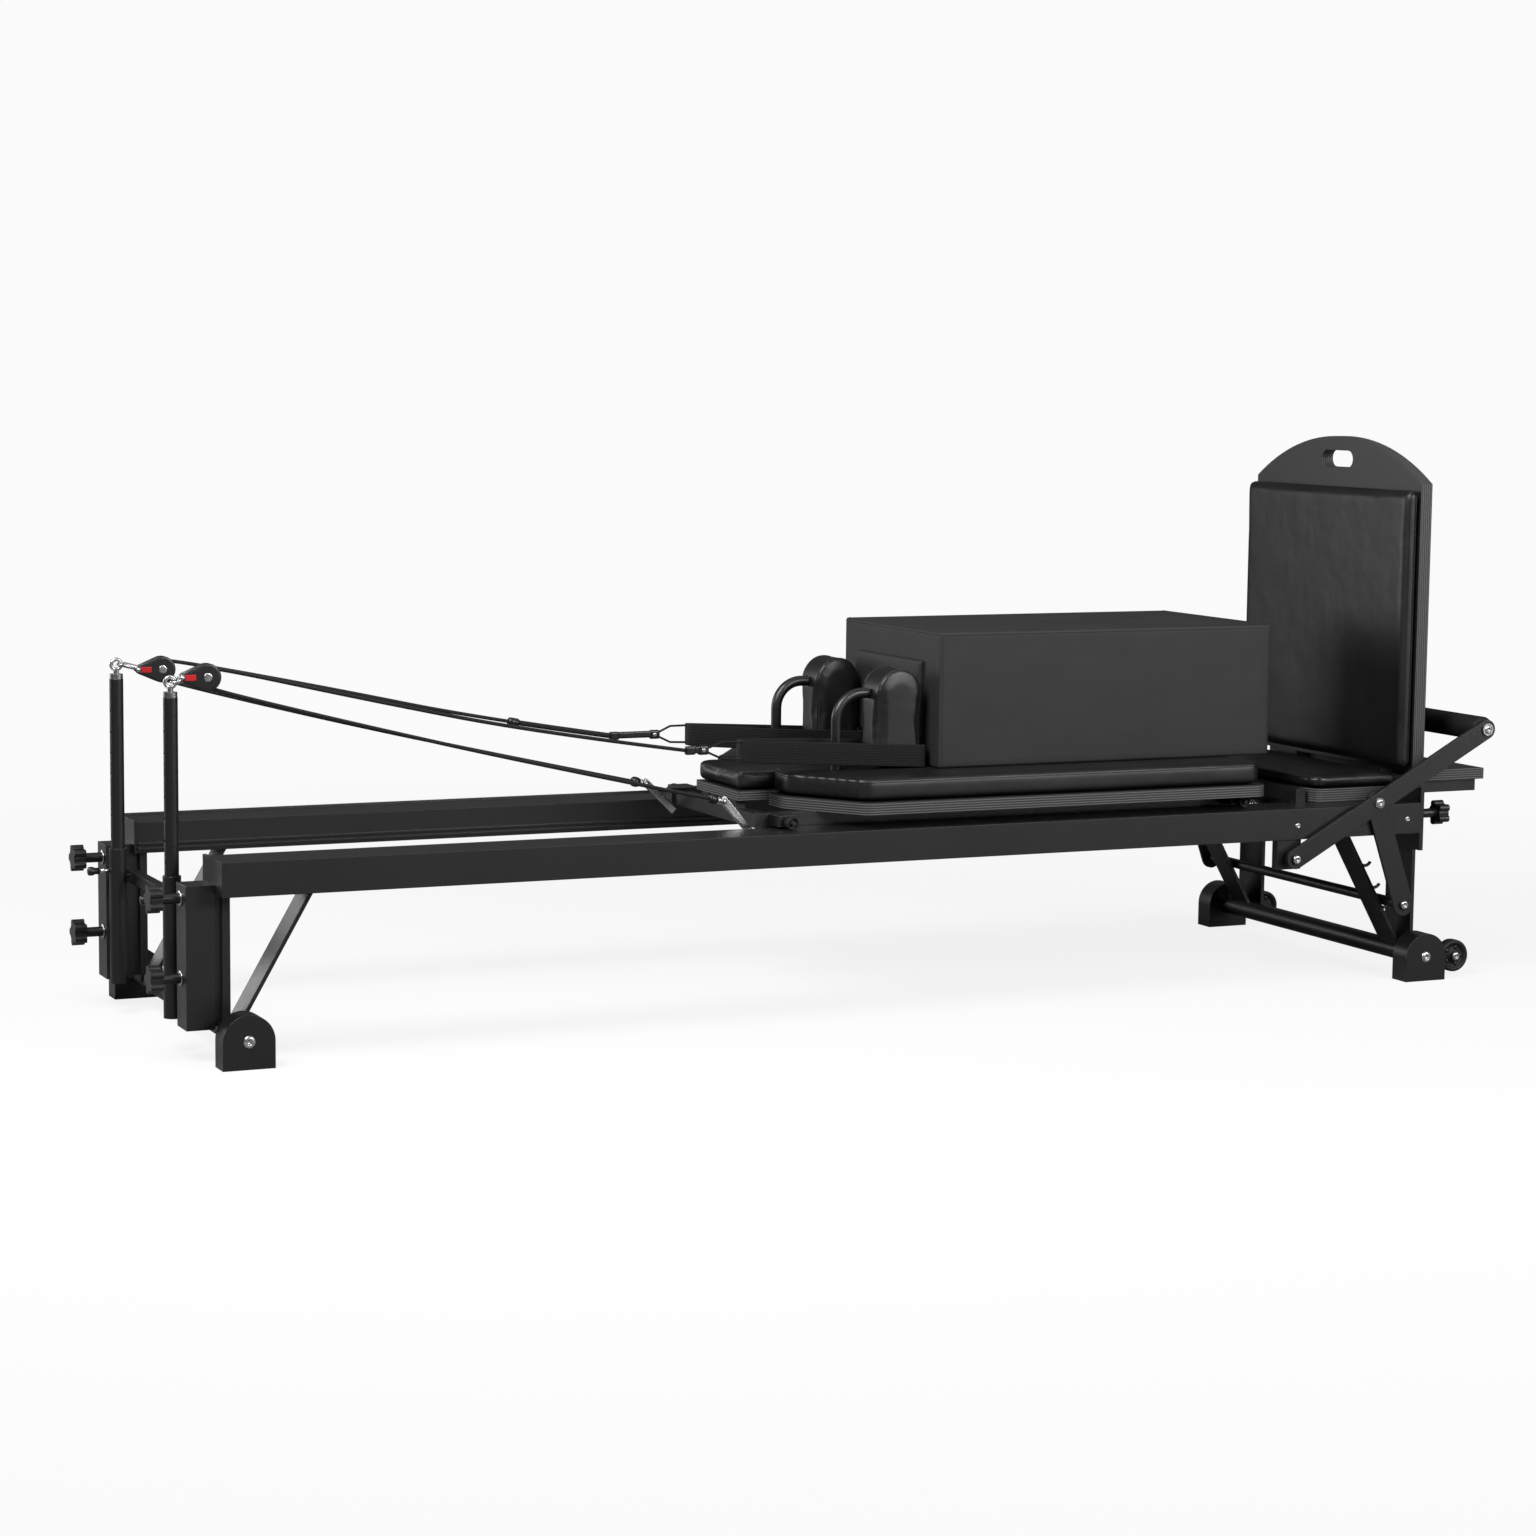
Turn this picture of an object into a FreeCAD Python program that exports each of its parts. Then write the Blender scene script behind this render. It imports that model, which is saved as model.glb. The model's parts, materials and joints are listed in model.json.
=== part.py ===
import FreeCAD, Part

import math
import os
import re

import Sketcher

# A pilates reformer standing on the floor. Millimetres. +X runs from the pulley end to the
# footbar end, -Y is the near side, +Z is up, and the origin is on the floor under the middle
# of the whole machine.

doc = FreeCAD.newDocument("reformer")
sheet = doc.addObject("Spreadsheet::Sheet", "dims")

SIZES = {
    # frame
    "rail_length": 2425, "rail_width": 120, "rail_height": 60, "rail_top": 350, "rail_wall": 4,
    "frame_half": 350, "lip_width": 10, "track_drop": 3, "rib_size": 4,
    "reach_pulley": 113, "reach_foot": 213,
    "foot_length": 92, "foot_width": 47, "foot_height": 94, "foot_out": 37, "tube_height": 48,
    "tube_radius": 19, "foot_inset": 29, "bar_thick": 8, "leg_inset": 13, "leg_width": 60,
    "end_plate": 6, "leg_depth": 14, "plate_drop": 35, "rest_bar": 24, "rest_reach": 200,
    "strut_pulley": 168, "strut_foot": 140, "bolt_proud": 4, "rib_drop": 38, "rib_pitch": 9,
    # risers at the pulley end
    "block_depth": 50, "block_low": 57, "block_rise": 16, "post_gap": 48, "post_inset": 58,
    "post_radius": 12.5, "post_wall": 2.5, "post_low": 72, "post_high": 617,
    "sleeve_radius": 16, "sleeve_low": 60, "sleeve_high": 308, "sheave_radius": 19.5,
    "tie_low": 243, "tie_high": 264, "tie_depth": 20, "hole_radius": 4, "hole_low": 330,
    "hole_pitch": 38, "lock_height": 268, "lock_shank": 3.9, "lock_gap": 1, "cap_height": 9,
    "eye_radius": 9, "eye_wire": 3.5, "eye_height": 26, "barrel_radius": 5, "nose_radius": 9,
    "nose_reach": 38, "cheek_play": 1, "knob_upper": 281, "knob_lower": 143,
    "sheave_width": 11, "sheave_axle": 4, "cheek_radius": 24, "cheek_thick": 3, "rope_thick": 7,
    "knob_radius": 25, "knob_depth": 22, "lobe_radius": 7, "stem_radius": 9, "stem_length": 36,
    "stud_radius": 5, "stud_length": 20, "face_gap": 0.3,
    # carriage
    "carriage_length": 958, "carriage_out": 75, "carriage_gap": 337, "chamfer_long": 99,
    "nose_land": 60, "wheel_clear": 1, "board_thick": 23, "pad_thick": 45, "board_lap": 7,
    "chassis_gap": 8, "chassis_depth": 32, "chassis_bar": 26, "nose_out": 79, "tail_out": 12,
    "wheel_radius": 12, "wheel_width": 18, "wheel_inset": 32, "wheel_axle": 4, "wheel_ahead": 40,
    "wheel_behind": 26, "hanger_half": 20, "spring_post": 503, "spring_drop": 54,
    "head_length": 94, "head_half": 98, "head_pad": 40, "head_base": 19, "head_out": 69,
    "notch_play": 2, "rest_place": 181, "rest_depth": 100, "rest_inner": 92, "rest_width": 84,
    "rest_seat": 2, "rest_height": 185, "rest_post": 10, "post_ahead": 66, "post_bend": 52,
    "post_drop": 46, "box_place": 296, "box_length": 736, "box_width": 411, "box_height": 259,
    "panel_half": 140, "panel_low": 45, "panel_high": 200, "panel_proud": 10, "band_height": 42,
    "band_thick": 3, "band_gap": 0.4, "grip_ball": 10, "clamp_radius": 7, "clasp_near": 46,
    "clasp_far": 104,
    # footbar
    "arm_length": 500, "arm_width": 38, "arm_thick": 8, "arm_gap": 9.5, "arm_tilt": 28.5,
    "pivot_back": 299, "pivot_drop": 36, "pin_radius": 6, "pin_play": 0.05,
    "pin_head": 10, "head_thick": 4, "hook_radius": 14.5, "hook_wire": 3.2, "hook_inset": 13,
    "prop_place": 214.6, "prop_length": 218.7, "prop_tilt": 70.9, "prop_width": 44,
    "prop_gap": 2, "prop_thick": 6, "rod_radius": 10, "grip_radius": 24,
    # footbar end
    "platform_lap": 32, "platform_length": 198, "platform_base": 27, "platform_pad": 28,
    "platform_cut": 45, "platform_nose": 18, "plate_gap": 1, "jump_gap": 16, "board_play": 0.3,
    "deck_length": 171, "deck_thick": 22, "jump_inset": 54,
    "jump_thick": 26, "jump_pad": 30, "jump_seat": 2, "jump_height": 571, "jump_rise": 88,
    "pad_above": 9, "pad_below": 13, "slot_long": 110, "slot_high": 34,
    "slot_rise": 42, "roller_radius": 32, "roller_width": 24, "roller_reach": 90,
    "roller_height": 40, "fork_thick": 8, "fork_gap": 2, "spring_radius": 11, "spring_pitch": 62,
    "tongue_inset": 40, "tongue_width": 70, "tongue_drop": 40, "socket_thick": 8,
    "socket_height": 40, "board_knob_in": 20, "board_knob_drop": 24, "board_stem": 40,
}
PLACES = {
    "rail_start": "-(rail_length + reach_foot - reach_pulley) / 2",
    "rail_end": "rail_start + rail_length",
    "rail_low": "rail_top - rail_height",
    "rail_inner": "frame_half - rail_width",
    "track": "rail_top - track_drop",
    "leg_inner": "rail_inner + leg_inset",
    "foot_outer": "frame_half + foot_out",
    "plate_low": "rail_low - plate_drop",
    "block_high": "rail_low + block_rise",
    "leg_outer": "leg_inner + leg_width",
    "post_half": "leg_inner - post_inset",
    "hook_half": "leg_outer - hook_inset",
    "foot_inner": "foot_outer - foot_width",
    "tube_start": "rail_start + foot_inset",
    "tube_end": "rail_end - 2",
    "post_x": "rail_start - post_gap",
    "plate_front": "rail_start - end_plate",
    "block_front": "plate_front - block_depth",
    "board_low": "track + 2 * wheel_radius + wheel_clear",
    "carriage_half": "rail_inner + carriage_out",
    "chassis_half": "rail_inner - chassis_gap",
    "wheel_inner": "rail_inner + wheel_inset",
    "board_high": "board_low + board_thick",
    "pad_high": "board_high + pad_thick",
    "rest_low": "pad_high + rest_seat",
    "rest_high": "rest_low + rest_height",
    "carriage_end": "rail_end - carriage_gap",
    "carriage_start": "carriage_end - carriage_length",
    "rest_x": "carriage_start + rest_place",
    "rest_outer": "rest_inner + rest_width",
    "box_x": "carriage_start + box_place",
    "pivot_x": "rail_end - pivot_back",
    "pivot_height": "rail_low - pivot_drop",
    "arm_inner": "frame_half + arm_gap",
    "prop_inner": "frame_half + prop_gap",
    "arm_outer": "arm_inner + arm_thick",
    "rod_x": "pivot_x + prop_place * cos(arm_tilt * 1deg) + prop_length * cos(prop_tilt * 1deg)",
    "rod_z": "pivot_height + prop_place * sin(arm_tilt * 1deg) - prop_length * sin(prop_tilt * 1deg)",
    "bar_x": "pivot_x + arm_length * cos(arm_tilt * 1deg)",
    "bar_z": "pivot_height + arm_length * sin(arm_tilt * 1deg)",
    "jump_x": "rail_end + jump_gap",
    "jump_back": "jump_x + jump_thick",
    "deck_top": "base_high + platform_pad",
    "jump_low": "deck_top + jump_seat",
    "jump_half": "frame_half - jump_inset",
    "jump_shoulder": "jump_low + jump_height",
    "jump_pad_low": "jump_low + pad_above",
    "jump_pad_high": "jump_shoulder - pad_below",
    "slot_centre": "jump_shoulder + slot_rise",
    "tongue_low": "rail_top - tongue_drop",
    "tongue_outer": "rail_inner - tongue_inset",
    "tongue_inner": "tongue_outer - tongue_width",
    "board_knob_y": "frame_half - board_knob_in",
    "board_knob_z": "rail_top - board_knob_drop",
    "deck_low": "deck_top - deck_thick",
    "base_high": "track + platform_base",
    "platform_half": "rail_inner + platform_lap",
    "platform_end": "rail_end - plate_gap",
    "platform_start": "platform_end - platform_length",
    "jump_radius": "(jump_half * jump_half + jump_rise * jump_rise) / (2 * jump_rise)",
    "wheel_front": "carriage_start - wheel_ahead",
    "wheel_rear": "carriage_end - wheel_behind",
    "wheel_z": "track + wheel_radius + face_gap",
    "head_start": "carriage_start - head_out",
    "head_end": "head_start + head_length",
    "head_low": "pad_high - head_pad - head_base",
    "notch_half": "head_half + notch_play",
    "chassis_low": "board_low - chassis_depth",
    "spring_start": "carriage_start + spring_post",
    "roller_x": "tube_end + roller_reach",
    "knob_side": "leg_inner + leg_width / 2 - 5.5",
    "strut_lean": "(strut_foot + tube_end - rail_end) / (rail_low - tube_height)",
}
WORDS = re.compile(r"\b(" + "|".join(sorted({**SIZES, **PLACES}, key=len, reverse=True)) + r")\b")


def on_sheet(text):
    """The same sum, with each size read from the sheet."""
    return WORDS.sub(r"dims.\1", str(text))


def value(text):
    """What a sum of sheet sizes comes to, as a plain number."""
    result = sheet.evalExpression(on_sheet(text))
    return float(getattr(result, "Value", result))


row = 1
for word, size in SIZES.items():
    sheet.set(f"A{row}", word)
    sheet.set(f"B{row}", str(size))
    sheet.setAlias(f"B{row}", word)
    row += 1
for word, rule in PLACES.items():
    sheet.set(f"A{row}", word)
    sheet.set(f"B{row}", "=" + rule)
    sheet.setAlias(f"B{row}", word)
    row += 1
doc.recompute()

SIDES = (("near", -1), ("far", 1))
NODES = {}


# ---------------------------------------------------------------- ways of making a solid
def place(thing, x=0, y=0, z=0):
    """Bind where a thing stands to the sheet."""
    for letter, rule in zip("xyz", (x, y, z)):
        thing.setExpression("Placement.Base." + letter, on_sheet(rule))
    return thing


def box(x0, x1, y0, y1, z0, z1):
    """A block between two corners, each given as a sum of sheet sizes."""
    thing = doc.addObject("Part::Box", "block")
    thing.setExpression("Length", on_sheet(f"({x1}) - ({x0})"))
    thing.setExpression("Width", on_sheet(f"({y1}) - ({y0})"))
    thing.setExpression("Height", on_sheet(f"({z1}) - ({z0})"))
    return place(thing, x0, y0, z0)


def side_box(side, x0, x1, inner, outer, z0, z1):
    """A block on one side of the machine, from its inner to its outer distance."""
    if side < 0:
        return box(x0, x1, f"-({outer})", f"-({inner})", z0, z1)
    return box(x0, x1, inner, outer, z0, z1)


TURNS = {"x": ((0, 1, 0), 90), "y": ((1, 0, 0), -90), "z": ((0, 0, 1), 0)}


def rod(axis, x, y, z, radius, length):
    """A round bar that starts at a point and runs along +X, +Y or +Z."""
    thing = doc.addObject("Part::Cylinder", "round")
    thing.setExpression("Radius", on_sheet(radius))
    thing.setExpression("Height", on_sheet(length))
    direction, angle = TURNS[axis]
    thing.Placement.Rotation = FreeCAD.Rotation(FreeCAD.Vector(*direction), angle)
    return place(thing, x, y, z)


def side_rod(side, x, z, inner, outer, radius):
    """A round bar along Y on one side, from its inner to its outer distance."""
    start = f"-({outer})" if side < 0 else inner
    return rod("y", x, start, z, radius, f"({outer}) - ({inner})")


def joined(*things):
    thing = doc.addObject("Part::MultiFuse", "joined")
    thing.Shapes = list(things)
    return thing


def cut(base, *tools):
    thing = doc.addObject("Part::Cut", "cut")
    thing.Base = base
    thing.Tool = tools[0] if len(tools) == 1 else joined(*tools)
    return thing


def group(*things):
    """Several solids that lie apart and count as one sub-part."""
    thing = doc.addObject("Part::Compound", "group")
    thing.Links = list(things)
    return thing


def node(label, thing):
    """Name a finished sub-part."""
    thing.Label = label
    NODES[label] = thing
    return thing


PLANES = {"xy": "XY_Plane", "xz": "XZ_Plane", "yz": "YZ_Plane"}


def plate(plane, outline, thick, x=0, y=0, z=0, soften=0, corners=()):
    """A flat piece: an outline on a plane, padded along the plane's normal (+Z, -Y or +X).

    The outline lists corners as pairs of sums. A third entry, the pair of sums of a centre,
    makes the edge that leaves the corner an arc, anticlockwise, to a corner at the same
    height. Corners listed by number are rounded by soften.
    """
    body = doc.addObject("PartDesign::Body", "body")
    sketch = body.newObject("Sketcher::SketchObject", "outline")
    for feature in body.Origin.OriginFeatures:
        if feature.Role == PLANES[plane]:
            sketch.AttachmentSupport = [(feature, "")]
    sketch.MapMode = "FlatFace"
    points = [FreeCAD.Vector(value(p[0]), value(p[1]), 0) for p in outline]
    rules = []
    for i, point in enumerate(points):
        following = points[(i + 1) % len(points)]
        if len(outline[i]) == 3:
            centre = FreeCAD.Vector(value(outline[i][2][0]), value(outline[i][2][1]), 0)
            circle = Part.Circle(centre, FreeCAD.Vector(0, 0, 1), (point - centre).Length)
            first = math.atan2(point.y - centre.y, point.x - centre.x)
            last = math.atan2(following.y - centre.y, following.x - centre.x)
            sketch.addGeometry(Part.ArcOfCircle(circle, first, last), False)
            rules.append(("DistanceY", i, 3, outline[i][2][1]))
        else:
            sketch.addGeometry(Part.LineSegment(point, following), False)
        rules += [("DistanceX", i, 1, outline[i][0]), ("DistanceY", i, 1, outline[i][1])]
    for i in range(len(points)):
        sketch.addConstraint(Sketcher.Constraint("Coincident", i, 2, (i + 1) % len(points), 1))
    for kind, edge, spot, rule in rules:
        at = sketch.addConstraint(Sketcher.Constraint(kind, -1, 1, edge, spot, value(rule)))
        sketch.setExpression(f"Constraints[{at}]", on_sheet(rule))
    pad = body.newObject("PartDesign::Pad", "pad")
    pad.Profile = sketch
    pad.setExpression("Length", on_sheet(thick))
    doc.recompute()
    if corners:
        normal = {"xy": 2, "xz": 1, "yz": 0}[plane]
        flat = {"xy": (0, 1), "xz": (0, 2), "yz": (1, 2)}[plane]
        chosen = []
        for number, edge in enumerate(pad.Shape.Edges, 1):
            ends = [v.Point for v in edge.Vertexes]
            if len(ends) != 2 or abs(ends[0][normal] - ends[1][normal]) < 0.5:
                continue
            spot = (ends[0][flat[0]], ends[0][flat[1]])
            if any(math.dist(spot, (points[c].x, points[c].y)) < 0.01 for c in corners):
                chosen.append(f"Edge{number}")
        fillet = body.newObject("PartDesign::Fillet", "rounding")
        fillet.Base = (pad, chosen)
        fillet.setExpression("Radius", on_sheet(soften))
        body.Tip = fillet
    return place(body, x, y, z)


def soft_block(x0, x1, y0, y1, z0, z1, radius):
    """A cushion's plain solid: a block with every edge rounded."""
    base = box(x0, x1, y0, y1, z0, z1)
    doc.recompute()
    thing = doc.addObject("Part::Fillet", "rounded")
    thing.Base = base
    size = min(radius, 0.45 * min(base.Length.Value, base.Width.Value, base.Height.Value))
    thing.Edges = [(i, size, size) for i in range(1, 13)]
    return thing


def knob(face, y, z, toward, stem):
    """A star knob that clamps against a face across X, on a stem with a stud beyond it."""
    def along(near, far):
        """Where a length of the knob starts and how long it is, measured out from the face."""
        start = f"({face}) + ({near})" if toward > 0 else f"({face}) - ({far})"
        return start, f"({far}) - ({near})"
    head, depth = along(f"({stem}) - 1", f"({stem}) + knob_depth - 1")
    shank, shank_length = along("face_gap", stem)
    stud, stud_length = along("-stud_length", "face_gap + 1")
    lobes = []
    for i in range(5):
        turn = math.radians(72 * i)
        lobes.append(rod("x", head, f"({y}) + (knob_radius - lobe_radius) * {math.cos(turn):.4f}",
                         f"({z}) + (knob_radius - lobe_radius) * {math.sin(turn):.4f}",
                         "lobe_radius", depth))
    return joined(rod("x", head, y, z, "knob_radius - lobe_radius", depth), *lobes,
                  rod("x", shank, y, z, "stem_radius", shank_length),
                  rod("x", stud, y, z, "stud_radius", stud_length))


# ---------------------------------------------------------------- frame
def rail(side):
    """A hollow rail with a sunk track on top and two ribs on its inner face."""
    def across(distance):
        return f"{side} * ({distance})"
    outline = [(across("frame_half"), "rail_low"), (across("frame_half"), "rail_top"),
               (across("frame_half - lip_width"), "rail_top"),
               (across("frame_half - lip_width"), "track"), (across("rail_inner"), "track")]
    for top in ("track - rib_drop", "track - rib_drop - rib_pitch"):
        outline += [(across("rail_inner"), top), (across("rail_inner - rib_size"), top),
                    (across("rail_inner - rib_size"), f"{top} - rib_size"),
                    (across("rail_inner"), f"{top} - rib_size")]
    outline.append((across("rail_inner"), "rail_low"))
    skin = plate("yz", outline, "rail_length", x="rail_start")
    hollow = side_box(side, "rail_start - 1", "rail_end + 1", "rail_inner + rail_wall",
                      "frame_half - rail_wall", "rail_low + rail_wall", "track - rail_wall")
    return cut(skin, hollow)


def foot(side, centre):
    """A block with an arched top that caps one end of a cross tube."""
    low = f"({centre}) - foot_length / 2"
    high = f"({centre}) + foot_length / 2"
    spring = "foot_height - foot_length / 2"
    outline = [(low, "0"), (high, "0"), (high, spring, (centre, spring)), (low, spring)]
    face = "foot_outer" if side > 0 else "-foot_inner"
    return plate("xz", outline, "foot_width", y=face)


def cross_tube(centre):
    """The round tube under one end of the machine."""
    return rod("y", centre, "-foot_inner", "tube_height", "tube_radius", "2 * foot_inner")


def strut(side, tube, high_x):
    """A flat bar from a cross tube, coped to it, up to the underside of a rail."""
    half = "bar_thick / 2"
    outline = [(f"{tube} - {half}", "tube_height"), (f"{tube} + {half}", "tube_height"),
               (f"({high_x}) + {half}", "rail_low"), (f"({high_x}) - {half}", "rail_low")]
    face = "leg_outer" if side > 0 else "-leg_inner"
    return cut(plate("xz", outline, "leg_width", y=face), cross_tube(tube))


def end_plates(side):
    """The plates that close one rail, and the bar that carries the deck behind it."""
    plate_back = "rail_end + bar_thick"
    stud_hole = rod("x", "rail_end - 1", f"{side} * board_knob_y", "board_knob_z",
                    "stud_radius + pin_play", "bar_thick + 2")
    closing = side_box(side, "rail_end", plate_back, "rail_inner + 10", "frame_half", "plate_low",
                       "deck_low")
    return [
        side_box(side, "plate_front", "rail_start", "rail_inner", "frame_half", "rail_low",
                 "rail_top"),
        cut(closing, stud_hole),
        side_box(side, plate_back, "rail_end + rest_reach", "leg_inner - 15",
                 "leg_inner - 15 + rest_bar", "deck_low - rest_bar", "deck_low")]


def frame():
    plates = []
    legs = []
    end_legs = []
    struts = []
    for name, side in SIDES:
        node("rail_" + name, rail(side))
        plates += end_plates(side)
        leg = joined(
            side_box(side, "rail_start + end_plate + 1", "rail_start + end_plate + 1 + leg_depth",
                     "leg_inner", "leg_outer", "tube_height", "rail_low"),
            side_box(side, "plate_front", "rail_start + end_plate + 1", "leg_inner + 7",
                     "leg_outer - 7", "block_low + 4", "rail_low"))
        legs.append(cut(leg, cross_tube("tube_start")))
        end_leg = side_box(side, "rail_end + bar_thick", "rail_end + 2 * bar_thick",
                           "leg_inner - 15", "leg_outer + 12", "tube_height",
                           "deck_low - rest_bar")
        end_legs.append(cut(end_leg, cross_tube("tube_end")))
        struts.append(strut(side, "tube_start", "rail_start + strut_pulley"))
        struts.append(strut(side, "tube_end", "rail_end - strut_foot"))
    for start in ("rail_end + bar_thick", "jump_back + board_play"):
        length = "jump_gap - bar_thick - board_play" if start.startswith("rail") else "socket_thick"
        plates.append(box(start, f"{start} + {length}", "-(leg_inner - 15)", "leg_inner - 15",
                          "deck_low - socket_height", "deck_low"))
    node("rail_end_plates", group(*plates))
    node("pulley_end_legs", group(*legs))
    node("foot_end_legs", group(*end_legs, *wheel_forks()))
    node("leg_struts", group(*struts))
    node("cross_tubes", group(cross_tube("tube_start"), cross_tube("tube_end")))
    node("feet", group(*[foot(side, end) for _, side in SIDES for end in ("tube_start", "tube_end")]))
    bolts = []
    for _, side in SIDES:
        for end in ("tube_start", "tube_end"):
            bolts.append(side_rod(side, end, "tube_height", "foot_outer",
                                  "foot_outer + bolt_proud", 11))
        for back, height in ((286, 33), (31, 31)):
            bolts.append(side_rod(side, f"rail_end - {back}", f"rail_top - {height}", "frame_half",
                                  "frame_half + 1.2", 6))
    node("frame_bolts", group(*bolts))


# ---------------------------------------------------------------- risers, pulleys, ropes
# Each pulley's hub, ahead of its post and above the post's top.
PULLEYS = {"near": (63.8, 33.0), "far": (83.6, 15.5)}


def hub(name):
    """Where a pulley's hub is, as X and Z."""
    ahead, above = PULLEYS[name]
    return round(value("post_x") + ahead, 4), round(value("post_high") + above, 4)


def sleeve(side):
    """A tube that a post slides in, with its web and the lock pin's bore."""
    centre = f"{side} * post_half"
    tube = rod("z", "post_x", centre, "sleeve_low", "sleeve_radius", "sleeve_high - sleeve_low")
    web = box("post_x + 2", "rail_start - 16", f"{centre} - 9", f"{centre} + 9", "tie_low + 4",
              "tie_high - 4")
    bore = rod("z", "post_x", centre, "sleeve_low - 1", "post_radius + pin_play",
               "sleeve_high - sleeve_low + 2")
    lock = rod("x", "post_x - sleeve_radius - 4", centre, "lock_height",
               "lock_shank + pin_play", "sleeve_radius")
    return cut(joined(tube, web), bore, lock)


def pull_pin(side):
    """A spring pin with a round head: it locks the post in its sleeve."""
    centre = f"{side} * post_half"
    return joined(
        rod("x", "post_x - 56", centre, "lock_height", 8, 12),
        rod("x", "post_x - 45", centre, "lock_height", 6, 10),
        rod("x", "post_x - 36", centre, "lock_height", "lock_shank",
            "36 - post_radius - lock_gap"))


def post(side):
    """A thin tube with a row of holes on its outer face."""
    centre = f"{side} * post_half"
    tube = rod("z", "post_x", centre, "post_low", "post_radius", "post_high - post_low")
    bore = rod("z", "post_x", centre, "post_low - 1", "post_radius - post_wall",
               "post_high - post_low + 2")
    holes = [rod("x", "post_x - 20", centre, f"hole_low + {i} * hole_pitch", "hole_radius", 20)
             for i in range(7)]
    return cut(tube, bore, *holes)


def risers():
    blocks = []
    for _, side in SIDES:
        block = side_box(side, "block_front", "plate_front", "leg_inner", "leg_outer",
                         "block_low", "block_high")
        holes = [rod("x", "block_front - 1", f"{side} * knob_side", height,
                     "stud_radius + pin_play", "stud_length + 2")
                 for height in ("knob_upper", "knob_lower")]
        blocks.append(cut(block, *holes))
    tie = box("plate_front - tie_depth", "plate_front", "-leg_inner", "leg_inner", "tie_low",
              "tie_high")
    carrier = joined(tie, *[sleeve(side) for _, side in SIDES])
    node("riser_bracket", group(carrier, *blocks))
    for name, side in SIDES:
        node("riser_post_" + name, post(side))
        node("shackle_" + name, shackle(name, side))
        node("pulley_block_" + name, pulley_block(name, side))
        node("sheave_" + name, sheave(name, side))
        node("pull_pin_" + name, pull_pin(side))
        for level in ("upper", "lower"):
            node(f"star_knob_{level}_{name}",
                 knob("block_front", f"{side} * knob_side", f"knob_{level}", -1, "stem_length"))


def shackle(name, side):
    """The post's cap, its eye, and the shackle that ties the pulley block to it."""
    wheel_x, wheel_z = hub(name)
    centre = side * value("post_half")
    top = value("post_high")
    eye_z = top + value("eye_height")
    start = value("post_x") + 12
    cap = rod("z", "post_x", f"{side} * post_half", "post_high", "post_radius - 0.5", "cap_height")
    neck = rod("z", "post_x", f"{side} * post_half", "post_high + cap_height - 1", 5, 10)
    eye = doc.addObject("Part::Torus", "eye")
    eye.setExpression("Radius1", on_sheet("eye_radius"))
    eye.setExpression("Radius2", on_sheet("eye_wire"))
    eye.Placement.Rotation = FreeCAD.Rotation(FreeCAD.Vector(1, 0, 0), 90)
    place(eye, "post_x", f"{side} * post_half", "post_high + eye_height")
    end = wheel_x - value("nose_reach - cheek_play") + 4
    run = math.hypot(end - start, wheel_z - eye_z)
    tilt = math.degrees(math.atan2(wheel_z - eye_z, end - start))
    barrel = doc.addObject("Part::Cylinder", "barrel")
    barrel.setExpression("Radius", on_sheet("barrel_radius"))
    barrel.Height = run
    barrel.Placement = FreeCAD.Placement(
        FreeCAD.Vector(start, centre, eye_z),
        FreeCAD.Rotation(FreeCAD.Vector(0, 1, 0), 90 - tilt))
    return joined(cap, neck, eye, barrel)


def pulley_block(name, side):
    """Two teardrop cheeks, the nose block that the shackle holds, and the sheave's axle."""
    wheel_x, wheel_z = hub(name)
    centre = side * value("post_half")
    radius = value("cheek_radius")
    nose = wheel_x - value("nose_reach")
    nose_radius = value("nose_radius")
    half = value("sheave_width / 2 + cheek_play")
    cheeks = []
    for low in (centre - half - value("cheek_thick"), centre + half):
        disc = doc.addObject("Part::Cylinder", "cheek")
        disc.Radius = radius
        disc.setExpression("Height", on_sheet("cheek_thick"))
        disc.Placement = FreeCAD.Placement(FreeCAD.Vector(wheel_x, low, wheel_z),
                                           FreeCAD.Rotation(FreeCAD.Vector(1, 0, 0), -90))
        reach = wheel_x - nose
        angle = math.acos((radius - nose_radius) / reach)
        tip_x = nose_radius * math.cos(math.pi - angle)
        tip_z = nose_radius * math.sin(math.pi - angle)
        big_x = radius * math.cos(math.pi - angle)
        big_z = radius * math.sin(math.pi - angle)
        corners = [(nose + tip_x, wheel_z - tip_z), (wheel_x + big_x, wheel_z - big_z),
                   (wheel_x + big_x, wheel_z + big_z), (nose + tip_x, wheel_z + tip_z)]
        wedge = plate("xz", [(f"{x:.4f}", f"{z:.4f}") for x, z in corners], "cheek_thick",
                      y=f"{low} + cheek_thick")
        tip = doc.addObject("Part::Cylinder", "nose")
        tip.Radius = nose_radius
        tip.setExpression("Height", on_sheet("cheek_thick"))
        tip.Placement = FreeCAD.Placement(FreeCAD.Vector(nose, low, wheel_z),
                                          FreeCAD.Rotation(FreeCAD.Vector(1, 0, 0), -90))
        cheeks += [disc, wedge, tip]
    outer = half + value("cheek_thick")
    axle = rod("y", f"{wheel_x}", f"{centre - outer - 1.5}", f"{wheel_z}", "sheave_axle",
               f"{2 * outer + 3}")
    filler = box(f"{nose - 7}", f"{nose + 7}", f"{centre - half}", f"{centre + half}",
                 f"{wheel_z - 7}", f"{wheel_z + 7}")
    return joined(*cheeks, axle, filler)


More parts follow.
